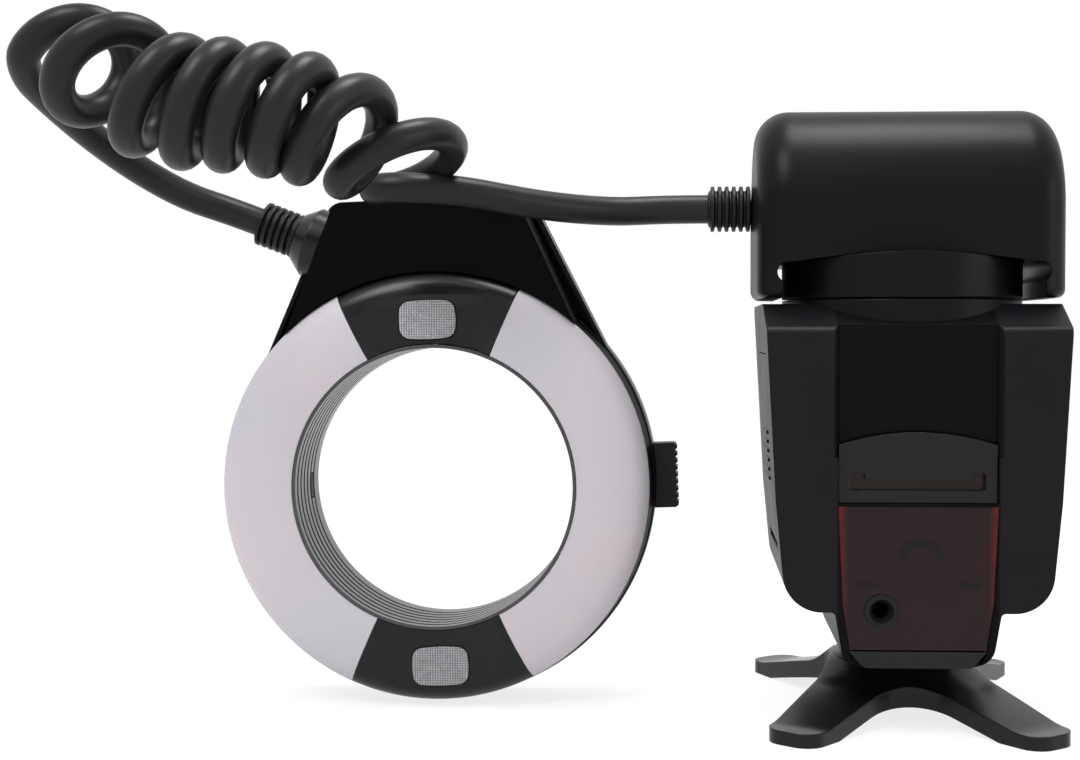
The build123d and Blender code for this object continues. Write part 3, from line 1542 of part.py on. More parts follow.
with BuildPart() as shoe_foot:
    half_width = foot_width / 2
    plate = box_face(
        floor_plane(foot_base_z), -half_width, half_width,
        foot_block_y - half_length, foot_block_y + half_length, ring_wall,
    )
    extrude(plate, amount=foot_thick)
    extrude(pin_way, amount=2 * overrun + foot_thick, mode=Mode.SUBTRACT)
    pin_low = disc_face(
        floor_plane(foot_base_z - overrun), 0, foot_block_y + lock_pin_y, lock_pin_r + shaft_gap
    )
    extrude(pin_low, amount=foot_thick + 2 * overrun, mode=Mode.SUBTRACT)
pieces["shoe_foot"] = shoe_foot

with BuildPart() as lock_pin:
    pin_face = disc_face(
        floor_plane(foot_base_z + seat_gap), 0, foot_block_y + lock_pin_y, lock_pin_r
    )
    extrude(pin_face, amount=block_low_z - foot_base_z - seat_gap)
pieces["lock_pin"] = lock_pin

lever_hub_low_z = lever_z - lever_knob_r + seat_gap
lever_hub_high_z = lever_z + lever_arm_r + seat_gap
with BuildPart() as lock_lever:
    hub_face = disc_face(floor_plane(lever_hub_low_z), lever_pivot_x, lever_pivot_y, lever_hub_r)
    extrude(hub_face, amount=lever_hub_high_z - lever_hub_low_z)
    arm_plane = Plane(
        origin=(unit_x + lever_pivot_x, lever_pivot_y, lever_z), x_dir=(0, 1, 0), z_dir=(1, 0, 0)
    )
    extrude(disc_face(arm_plane, 0, 0, lever_arm_r), amount=lever_knob_in - lever_pivot_x)
    knob_plane = arm_plane.offset(lever_knob_in - lever_pivot_x)
    knob_solid = [
        (0, 0),
        (lever_knob_r - lever_ear / 2, 0),
        (lever_knob_r, lever_ear / 2),
        (lever_knob_r, lever_knob_out - lever_knob_in - lever_ear / 2),
        (lever_knob_r - lever_ear / 2, lever_knob_out - lever_knob_in),
        (0, lever_knob_out - lever_knob_in),
    ]
    revolve(turned_face(knob_plane, knob_solid), axis=base_axis(knob_plane))
    bore_face = disc_face(
        floor_plane(lever_hub_low_z - overrun), lever_pivot_x, lever_pivot_y, lever_pin_r + shaft_gap
    )
    extrude(bore_face, amount=2 * lever_hub_r + 4 * overrun, mode=Mode.SUBTRACT)
pieces["lock_lever"] = lock_lever

with BuildPart() as lever_bracket:
    ear_low_z = lever_hub_low_z - run_gap - lever_ear
    ear = box_face(
        floor_plane(ear_low_z), lever_pivot_x - lever_hub_r, lever_pivot_x + lever_hub_r,
        column_back_y + seat_gap, lever_pivot_y + lever_hub_r,
    )
    extrude(ear, amount=lever_ear)
    pin_round = disc_face(floor_plane(ear_low_z), lever_pivot_x, lever_pivot_y, lever_pin_r)
    extrude(pin_round, amount=hip_z - seat_gap - ear_low_z)
pieces["lever_bracket"] = lever_bracket

# Stand: four arms, a domed hub with the shoe slot, and an arched underside
stand_half_x = stand_width / 2
stand_half_y = stand_depth / 2
arm_reach = sqrt(stand_half_x**2 + stand_half_y**2)
arm_x = stand_half_x / arm_reach
arm_y = stand_half_y / arm_reach
tip_round = stand_arm_round * (arm_x + arm_y - 1)
tip_x = stand_half_x - arm_y * stand_arm_width / 2 + tip_round
tip_y = stand_half_y - arm_x * stand_arm_width / 2 + tip_round
stand_plan = []
stand_plan_radii = []
for turn_x, turn_y in ((1, 1), (-1, 1), (-1, -1), (1, -1)):
    near_x = (
        turn_x * (tip_x + arm_y * stand_arm_width / 2), turn_y * (tip_y - arm_x * stand_arm_width / 2)
    )
    near_y = (
        turn_x * (tip_x - arm_y * stand_arm_width / 2), turn_y * (tip_y + arm_x * stand_arm_width / 2)
    )
    first, second = (near_x, near_y) if turn_x * turn_y > 0 else (near_y, near_x)
    waist_spot = (0, turn_y * stand_hub_r) if turn_x * turn_y > 0 else (turn_x * stand_hub_r, 0)
    stand_plan += [first, second, waist_spot]
    stand_plan_radii += [stand_arm_round, stand_arm_round, stand_waist_round / 2]
stand_far = arm_reach + overrun
dome = [
    (0, 0),
    (stand_far, 0),
    (stand_far, stand_foot_z),
    (arm_reach * 5 / 6, stand_foot_z),
    (arm_reach * 2 / 5, stand_top_z * 2 / 3),
    (stand_hub_r + overrun, stand_top_z),
    (0, stand_top_z),
]
dome_radii = [0, 0, 0, arm_reach / 3, arm_reach / 4, overrun / 2, 0]
under = [
    (0, -overrun),
    (arm_reach * 3 / 4, -overrun),
    (arm_reach * 3 / 4, 0),
    (stand_hub_r, stand_arch_z),
    (0, stand_arch_z),
]
slot_front_y = foot_block_y - foot_length / 2 - seat_gap
with BuildPart() as stand:
    extrude(face_of(floor_plane(0), stand_plan, stand_plan_radii), amount=stand_top_z)
    revolve(
        turned_face(floor_plane(0), dome, dome_radii), axis=base_axis(floor_plane(0)), mode=Mode.INTERSECT
    )
    revolve(turned_face(floor_plane(0), under), axis=base_axis(floor_plane(0)), mode=Mode.SUBTRACT)
    shoe_low_z = foot_base_z - run_gap
    wide = box_face(
        floor_plane(shoe_low_z), -foot_width / 2 - run_gap, foot_width / 2 + run_gap,
        slot_front_y, stand_half_y,
    )
    extrude(wide, amount=foot_thick + 2 * run_gap, mode=Mode.SUBTRACT)
    narrow = box_face(
        floor_plane(shoe_low_z), -shoe_gap_width / 2, shoe_gap_width / 2, slot_front_y, stand_half_y
    )
    extrude(narrow, amount=stand_top_z, mode=Mode.SUBTRACT)
    pin_pit = disc_face(
        floor_plane(shoe_low_z - lock_pin_travel), 0, foot_block_y + lock_pin_y, lock_pin_r + run_gap
    )
    extrude(pin_pit, amount=lock_pin_travel + run_gap, mode=Mode.SUBTRACT)
pieces["stand"] = stand


os.makedirs("parts", exist_ok=True)
for name, piece in pieces.items():
    piece.part.label = name
    export_step(piece.part, "parts/" + name + ".step")
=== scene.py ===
"""Dresses the macro ring flash: its materials, its one long cord, the studio and the camera.

Everything is in metres in the object's own frame: +X to the viewer's right, +Y away from the
viewer, +Z up, with the origin on the floor.
"""

import logging
import math
from dataclasses import dataclass, field
from enum import Enum
from typing import Dict, List, Sequence, Tuple

import bpy
import numpy as np
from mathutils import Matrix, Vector


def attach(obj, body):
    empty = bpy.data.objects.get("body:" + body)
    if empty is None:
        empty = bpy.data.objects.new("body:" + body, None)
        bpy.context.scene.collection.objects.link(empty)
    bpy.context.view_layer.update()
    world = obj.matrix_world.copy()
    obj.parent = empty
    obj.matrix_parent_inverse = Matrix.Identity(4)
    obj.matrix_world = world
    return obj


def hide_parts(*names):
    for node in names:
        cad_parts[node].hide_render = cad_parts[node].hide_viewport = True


LOG = logging.getLogger("ring_flash")
Colour = Tuple[float, float, float]
Point = Tuple[float, float, float]
MM = 0.001

# Sizes in millimetres that place the two halves of the object beside each other
RING_R = 54.7
DRUM_HALF = 37.0
AXES_APART = 115.05


class Edge(Enum):
    """How round the moulded edges of a finish look, as a radius in metres."""

    NONE = 0.0
    CRISP = 0.00025
    SOFT = 0.0006
    ROUND = 0.0011


class NodeSheet:
    """A small helper that lays out one material's shader nodes."""

    def __init__(self, name: str) -> None:
        """Starts a new node material with an empty tree.

        Args:
            name: Name of the material.
        """
        self.material = bpy.data.materials.new(name)
        self.material.use_nodes = True
        self.tree = self.material.node_tree
        self.tree.nodes.clear()
        self.output = self.tree.nodes.new("ShaderNodeOutputMaterial")

    def add(self, kind: str, **sockets: object) -> bpy.types.Node:
        """Adds a node and sets or links its inputs.

        Args:
            kind: Blender's node type.
            **sockets: Input names with underscores for spaces, and a value or a socket each.

        Returns:
            The new node.
        """
        node = self.tree.nodes.new(kind)
        for key, value in sockets.items():
            self.put(node.inputs[key.replace("_", " ")], value)
        return node

    def put(self, socket: bpy.types.NodeSocket, value: object) -> None:
        """Links a socket to another one, or sets it to a plain value.

        Args:
            socket: Input to set.
            value: A socket, or the plain value.
        """
        if isinstance(value, bpy.types.NodeSocket):
            self.tree.links.new(value, socket)
        elif isinstance(value, tuple) and len(value) == 3 and socket.type == "RGBA":
            socket.default_value = (*value, 1.0)
        else:
            socket.default_value = value

    def place(self) -> bpy.types.NodeSocket:
        """The surface point in the object's own frame."""
        return self.add("ShaderNodeTexCoord").outputs["Object"]

    def math(self, operation: str, first: object, second: object = 0.0) -> bpy.types.NodeSocket:
        """One arithmetic step on two values or sockets.

        Args:
            operation: Blender's name of the operation.
            first: First operand.
            second: Second operand.

        Returns:
            The result's socket.
        """
        node = self.tree.nodes.new("ShaderNodeMath")
        node.operation = operation
        self.put(node.inputs[0], first)
        self.put(node.inputs[1], second)
        return node.outputs[0]

    def noise(self, scale: float, detail: float = 2.0, rough: float = 0.5) -> bpy.types.NodeSocket:
        """Smooth noise over the surface.

        Args:
            scale: Cells a metre.
            detail: How many finer layers are added.
            rough: How strong the finer layers are.

        Returns:
            The noise's socket, from 0 to 1.
        """
        made = self.add(
            "ShaderNodeTexNoise", Vector=self.place(), Scale=scale, Detail=detail, Roughness=rough
        )
        return made.outputs["Fac"]

    def span(self, value: object, low: float, high: float) -> bpy.types.NodeSocket:
        """A value from 0 to 1 stretched to run from low to high."""
        return self.math("ADD", self.math("MULTIPLY", value, high - low), low)

    def blend(self, share: object, first: object, second: object) -> bpy.types.NodeSocket:
        """A colour between two others.

        Args:
            share: 0 gives the first colour, 1 the second.
            first: First colour.
            second: Second colour.

        Returns:
            The mixed colour's socket.
        """
        node = self.tree.nodes.new("ShaderNodeMix")
        node.data_type = "RGBA"
        self.put(node.inputs[0], share)
        self.put(node.inputs[6], first)
        self.put(node.inputs[7], second)
        return node.outputs[2]

    def relief(self, height: object, depth: float, edge: Edge) -> bpy.types.NodeSocket:
        """A bumped normal on top of edges that look rounded.

        Args:
            height: Height from 0 to 1.
            depth: Depth of the bumps in metres.
            edge: How round the edges look.

        Returns:
            The normal's socket.
        """
        bump = self.add("ShaderNodeBump", Strength=1.0, Distance=depth, Height=height)
        if edge is not Edge.NONE:
            bevel = self.tree.nodes.new("ShaderNodeBevel")
            bevel.samples = 6
            bevel.inputs["Radius"].default_value = edge.value
            self.put(bump.inputs["Normal"], bevel.outputs[0])
        return bump.outputs[0]

    def close(self, **sockets: object) -> bpy.types.Material:
        """Ends the material in one main surface shader.

        Args:
            **sockets: The shader's inputs, as for add.

        Returns:
            The finished material.
        """
        shader = self.add("ShaderNodeBsdfPrincipled", **sockets)
        self.put(self.output.inputs["Surface"], shader.outputs[0])
        return self.material


@dataclass(frozen=True)
class MouldedPlastic:
    """Opaque moulded plastic with a fine eroded grain.

    Where a half-width for the middle is set, the plastic within that distance of the control unit's
    middle
    is darker and duller, with a soft edge: painted shade on the recessed middle column.
    """

    name: str
    colour: Colour
    roughness: float = 0.42
    grain: float = 3600.0
    grain_depth: float = 0.000012
    gloss: float = 0.32
    edge: Edge = Edge.SOFT
    # half-width, edge blur, tone and gloss share of the painted shade on the recessed middle column
    painted_shade_half: float = 0.0
    painted_shade_blur: float = 0.8 * MM
    painted_shade_tone: float = 0.40
    painted_shade_gloss: float = 0.55

    def build(self) -> bpy.types.Material:
        """Makes the material: noise moves the roughness and the tone, a finer one is the grain.

        Returns:
            The finished material.
        """
        sheet = NodeSheet(self.name)
        cloud = sheet.noise(60.0, 3.0)
        fine = sheet.noise(self.grain, 2.0, 0.6)
        deep = tuple(c * 0.82 for c in self.colour)
        pale = tuple(min(1.0, c * 1.22) for c in self.colour)
        tone, gloss = sheet.blend(cloud, deep, pale), self.gloss
        # painted shade: the recessed middle column of the control unit is darkened and dulled, with
        # a soft edge
        if self.painted_shade_half:
            split = sheet.add("ShaderNodeSeparateXYZ", Vector=sheet.place())
            across = sheet.math("SUBTRACT", split.outputs[0], Placing().unit_x * MM)
            past = sheet.math("SUBTRACT", sheet.math("ABSOLUTE", across), self.painted_shade_half)
            past = sheet.math("MULTIPLY", sheet.math("MAXIMUM", past, 0.0), 1.0 / self.painted_shade_blur)
            far = sheet.math("MINIMUM", past, 1.0)
            tone = sheet.blend(far, tuple(c * self.painted_shade_tone for c in self.colour), tone)
            gloss = sheet.span(far, self.gloss * self.painted_shade_gloss, self.gloss)
        return sheet.close(
            Base_Color=tone,
            Roughness=sheet.span(cloud, self.roughness - 0.05, self.roughness + 0.05),
            Specular_IOR_Level=gloss,
            Normal=sheet.relief(fine, self.grain_depth, self.edge),
        )


@dataclass(frozen=True)
class FrostedAcrylic:
    """Milky diffuser: light goes in and comes back, with a faint warm and cool mottle."""

    name: str
    colour: Colour
    warm: Colour
    cool: Colour

    def build(self) -> bpy.types.Material:
        """Makes the material from two wide noises for the mottle and a fine one for the frost.

        Returns:
            The finished material.
        """
        sheet = NodeSheet(self.name)
        warm_patch = sheet.math("MULTIPLY", sheet.noise(55.0, 2.0), 0.9)
        cool_patch = sheet.math("MULTIPLY", sheet.noise(34.0, 1.0), 0.8)
        tone = sheet.blend(warm_patch, self.colour, self.warm)
        tone = sheet.blend(cool_patch, tone, self.cool)
        return sheet.close(
            Base_Color=tone,
            Roughness=0.5,
            Specular_IOR_Level=0.4,
            Subsurface_Weight=0.25,
            Subsurface_Radius=(0.8, 0.7, 0.75),
            Subsurface_Scale=0.003,
            Normal=sheet.relief(sheet.noise(5200.0), 0.000006, Edge.CRISP),
        )


@dataclass(frozen=True)
class PrismLens:
    """Lens with a fine square grid of little prisms, as an opaque surface.

    Nothing shows through it: the grid's colour and height give its look.
    """

    name: str
    colour: Colour
    groove: Colour
    pitch: float

    def build(self) -> bpy.types.Material:
        """Makes the material: the height is the product of two sine waves along X and Z.

        Returns:
            The finished material.
        """
        sheet = NodeSheet(self.name)
        split = sheet.add("ShaderNodeSeparateXYZ", Vector=sheet.place())
        turns = 2 * math.pi / self.pitch
        angles = [sheet.math("MULTIPLY", split.outputs[i], turns / 2) for i in (0, 2)]
        waves = [sheet.math("ABSOLUTE", sheet.math("SINE", angle)) for angle in angles]
        cell = sheet.math("MULTIPLY", waves[0], waves[1])
        fleck = sheet.noise(900.0, 1.0)
        bright = sheet.math("POWER", cell, 0.6)
        share = sheet.math("MULTIPLY", bright, sheet.span(fleck, 0.55, 1.25))
        return sheet.close(
            Base_Color=sheet.blend(share, self.groove, self.colour),
            Roughness=0.22,
            Metallic=0.35,
            Specular_IOR_Level=0.6,
            Normal=sheet.relief(cell, 0.00012, Edge.CRISP),
        )


@dataclass(frozen=True)
class RedWindow:
    """Dark red panel whose cut edges are brighter with painted light, for the light that the
    acrylic carries to its edges.

    It is opaque. The dark arch and bars that show behind the real panel are drawn in its colour.
    Heights are from the floor, in metres.
    """

    name: str
    heart: Colour
    painted_edge_light: Colour
    middle_x: float
    half: float
    blur: float = 0.0003
    arch_off: float = 0.0006
    arch_z: float = 0.0405
    arch_r: float = 0.0046
    arch_half_width: float = 0.0011
    arch_sink: float = 0.0004
    bar_off: float = 0.0118
    bar_z: float = 0.0352
    bar_half_length: float = 0.0026
    bar_half_height: float = 0.0009
    rim_width: float = 0.0022

    def soft_step(self, sheet: NodeSheet, value: object, edge: float) -> bpy.types.NodeSocket:
        """1 where the value is well below the edge and 0 above it, with a blur between."""
        short = sheet.math("DIVIDE", sheet.math("SUBTRACT", edge, value), self.blur)
        return sheet.math("MINIMUM", sheet.math("MAXIMUM", short, 0.0), 1.0)

    def arch(self, sheet: NodeSheet, split: bpy.types.Node) -> bpy.types.NodeSocket:
        """The dark arch: near a circle and above its middle.

        Args:
            sheet: The material's nodes.
            split: Node that holds the point's coordinates.

        Returns:
            1 inside the arch, else 0.
        """
        across = sheet.math("SUBTRACT", split.outputs[0], self.middle_x + self.arch_off)
        above = sheet.math("SUBTRACT", split.outputs[2], self.arch_z)
        squares = sheet.math("ADD", sheet.math("POWER", sheet.math("ABSOLUTE", across), 2.0),
                             sheet.math("POWER", sheet.math("ABSOLUTE", above), 2.0))
        radius = sheet.math("SQRT", squares)
        band = sheet.math("ABSOLUTE", sheet.math("SUBTRACT", radius, self.arch_r))
        upper = self.soft_step(sheet, sheet.math("MULTIPLY", above, -1.0), -self.arch_sink)
        return sheet.math("MULTIPLY", self.soft_step(sheet, band, self.arch_half_width), upper)

    def bars(self, sheet: NodeSheet, split: bpy.types.Node) -> bpy.types.NodeSocket:
        """The two short dark bars, one on each side of the arch.

        Args:
            sheet: The material's nodes.
            split: Node that holds the point's coordinates.

        Returns:
            1 inside the bars, else 0.
        """
        off = sheet.math("ABSOLUTE", sheet.math("SUBTRACT", split.outputs[0], self.middle_x))
        wide = sheet.math("ABSOLUTE", sheet.math("SUBTRACT", off, self.bar_off))
        high = sheet.math("ABSOLUTE", sheet.math("SUBTRACT", split.outputs[2], self.bar_z))
        return sheet.math("MULTIPLY", self.soft_step(sheet, wide, self.bar_half_length),
                          self.soft_step(sheet, high, self.bar_half_height))

    def build(self) -> bpy.types.Material:
        """Makes the material: the distance from the middle brightens the last two millimetres with
        painted edge light.

        Returns:
            The finished material.
        """
        sheet = NodeSheet(self.name)
        split = sheet.add("ShaderNodeSeparateXYZ", Vector=sheet.place())
        off = sheet.math("ABSOLUTE", sheet.math("SUBTRACT", split.outputs[0], self.middle_x))
        # painted light: towards the cut edges the colour brightens in a noisy band to the
        # edge-light colour
        into_rim = sheet.math("SUBTRACT", off, self.half - self.rim_width)
        near_rim = sheet.math("DIVIDE", into_rim, self.rim_width)
        glow = sheet.math("MULTIPLY", sheet.math("MAXIMUM", near_rim, 0.0), sheet.noise(260.0, 2.0))
        glow = sheet.math("MINIMUM", glow, 1.0)
        deep = tuple(c * 0.22 for c in self.heart)
        shade = sheet.math("MAXIMUM", self.arch(sheet, split), self.bars(sheet, split))
        shade = sheet.math("MAXIMUM", shade, sheet.span(sheet.noise(80.0, 3.0), 0.0, 0.30))
        return sheet.close(
            Base_Color=sheet.blend(glow, sheet.blend(shade, self.heart, deep), self.painted_edge_light),
            Roughness=0.08,
            Specular_IOR_Level=0.16,
            Coat_Weight=0.10,
            Coat_Roughness=0.04,
            Normal=sheet.relief(sheet.noise(120.0), 0.00002, Edge.SOFT),
        )


@dataclass(frozen=True)
class CordRubber:
    """Satin black cord jacket with faint draw lines and dust."""

    name: str
    colour: Colour
    roughness: float

    def build(self) -> bpy.types.Material:
        """Makes the material from a wide noise for the sheen and a fine one for the skin.

        Returns:
            The finished material.
        """
        sheet = NodeSheet(self.name)
        wide = sheet.noise(95.0, 4.0)
        skin = sheet.noise(1900.0, 3.0, 0.7)
        pale = tuple(c * 1.7 for c in self.colour)
        return sheet.close(
            Base_Color=sheet.blend(wide, self.colour, pale),
            Roughness=sheet.span(wide, self.roughness - 0.06, self.roughness + 0.07),
            Specular_IOR_Level=0.17,
            Normal=sheet.relief(skin, 0.00001, Edge.NONE),
        )


@dataclass(frozen=True)
class BareMetal:
    """Metal with fine scratches that run along one axis."""

    name: str
    colour: Colour
    roughness: float

    def build(self) -> bpy.types.Material:
        """Makes the material: stretched noise gives the scratches and the roughness.

        Returns:
            The finished material.
        """
        sheet = NodeSheet(self.name)
        mapping = sheet.add("ShaderNodeMapping", Vector=sheet.place(), Scale=(1.0, 1.0, 14.0))
        line = sheet.add("ShaderNodeTexNoise", Vector=mapping.outputs[0], Scale=900.0, Detail=3.0)
        scratch = line.outputs["Fac"]
        dull = tuple(c * 0.75 for c in self.colour)
        return sheet.close(
            Base_Color=sheet.blend(scratch, dull, self.colour),
            Metallic=1.0,
            Roughness=sheet.span(scratch, self.roughness - 0.08, self.roughness + 0.08),
            Normal=sheet.relief(scratch, 0.000006, Edge.CRISP),
        )


SHELL = MouldedPlastic("shell black", (0.0032, 0.0030, 0.0037), 0.36, gloss=0.085)
HOOD = MouldedPlastic("hood black", (0.0016, 0.0016, 0.0018), 0.50, gloss=0.03)
# the wing plastic carries painted shade on the recessed middle column
WING = MouldedPlastic(
    "wing black", (0.0052, 0.0043, 0.0057), 0.42, gloss=0.10, painted_shade_half=17.9 * MM
)
BEZEL = MouldedPlastic("bezel black", (0.0040, 0.0040, 0.0048), 0.26, gloss=0.24)
GLOSS_BLACK = MouldedPlastic("stand black", (0.0038, 0.0038, 0.0042), 0.24, 1400.0, 0.000008, 0.20)
KEY = MouldedPlastic("key black", (0.0050, 0.0050, 0.0056), 0.46, gloss=0.16, edge=Edge.CRISP)
SLEEVE = MouldedPlastic(
    "ribbed sleeve", (0.0200, 0.0200, 0.0220), 0.26, gloss=0.60, edge=Edge.CRISP
)
PANEL = MouldedPlastic(
    "slot panel", (0.0046, 0.0040, 0.0046), 0.20, 900.0, 0.000006, 0.22, Edge.CRISP
)
INSERT = MouldedPlastic(
    "brown insert", (0.0120, 0.0034, 0.0022), 0.18, gloss=0.22, edge=Edge.CRISP
)
BOARD = MouldedPlastic("circuit board", (0.0100, 0.0700, 0.0300), 0.35, edge=Edge.CRISP)
LABEL = MouldedPlastic("cell sleeve", (0.0900, 0.0950, 0.1050), 0.25, edge=Edge.SOFT)
GLASS_GREY = MouldedPlastic("display glass", (0.0900, 0.1050, 0.0850), 0.18, edge=Edge.CRISP)
COVER = MouldedPlastic(
    "display cover", (0.0060, 0.0064, 0.0072), 0.07, 400.0, 0.000003, 0.3, Edge.CRISP
)
LAMP = MouldedPlastic("lamp body", (0.7500, 0.7300, 0.6200), 0.30, edge=Edge.CRISP)
DIFFUSER = FrostedAcrylic(
    "diffuser", (0.375, 0.358, 0.385), (0.450, 0.358, 0.362), (0.335, 0.350, 0.392)
)
LENS = PrismLens("focus lens", (0.34, 0.335, 0.35), (0.055, 0.053, 0.058), 0.00062)
STEEL = BareMetal("steel", (0.56, 0.56, 0.58), 0.33)
POLISHED = BareMetal("polished reflector", (0.86, 0.86, 0.88), 0.15)
CORD = CordRubber("cord rubber", (0.0068, 0.0066, 0.0076), 0.36)
BOOT = CordRubber("boot rubber", (0.0045, 0.0045, 0.0052), 0.42)


def surface_mesh(name: str, grid: np.ndarray, wrap: bool, caps: bool) -> bpy.types.Object:
    """Makes a smooth mesh from a grid of points.

    Args:
        name: Name of the object.
        grid: Points as rows by columns by 3, in metres.
        wrap: Whether the last column joins the first.
        caps: Whether the first and last rows are closed with a fan.

    Returns:
        The new object, linked to the scene.
    """
    rows, cols = grid.shape[:2]
    index = np.arange(rows * cols).reshape(rows, cols)
    ahead = np.roll(index, -1, axis=1) if wrap else index[:, 1:]
    here = index if wrap else index[:, :-1]
    quads = np.stack([here[:-1], ahead[:-1], ahead[1:], here[1:]], axis=-1).reshape(-1, 4)
    faces = quads.tolist()
    points = grid.reshape(-1, 3)
    if caps:
        middle = np.stack([grid[0].mean(axis=0), grid[-1].mean(axis=0)])
        points = np.concatenate([points, middle])
        first, last = rows * cols, rows * cols + 1
        faces += np.stack([np.full(cols, first), np.roll(index[0], -1), index[0]], -1).tolist()
        faces += np.stack([np.full(cols, last), index[-1], np.roll(index[-1], -1)], -1).tolist()
    mesh = bpy.data.meshes.new(name)
    mesh.from_pydata(points.tolist(), [], faces)
    mesh.validate()
    mesh.polygons.foreach_set("use_smooth", np.ones(len(mesh.polygons), bool))
    made = bpy.data.objects.new(name, mesh)
    bpy.context.scene.collection.objects.link(made)
    return made


def unit(vector: np.ndarray) -> np.ndarray:
    """The vector at length 1."""
    return vector / np.linalg.norm(vector)


def dress(node: bpy.types.Object, material: bpy.types.Material) -> None:
    """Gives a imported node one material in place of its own."""
    node.data.materials.clear()
    node.data.materials.append(material)


@dataclass
class Placing:
    """Where the main axes of the object stand, in millimetres."""

    ring_x: float = (RING_R - DRUM_HALF - AXES_APART) / 2
    ring_z: float = RING_R
    ring_front_y: float = -10.8
    unit_x: float = (RING_R - DRUM_HALF - AXES_APART) / 2 + AXES_APART
    neck_y: float = -2.3
    roll: float = math.radians(2.0)

    def ring_point(self, x: float, y: float, depth: float) -> np.ndarray:
        """A point of the ring's own rolled frame.

        Args:
            x: To the right of the ring's middle, in millimetres.
            y: Above the ring's middle, in millimetres.
            depth: Behind the ring's front, in millimetres.

        Returns:
            The point in the object's frame, in millimetres.
        """
        turn_x, turn_z = math.cos(self.roll), math.sin(self.roll)
        return np.array([
            self.ring_x + x * turn_x - y * turn_z,
            self.ring_front_y + depth,
            self.ring_z + x * turn_z + y * turn_x,
        ])


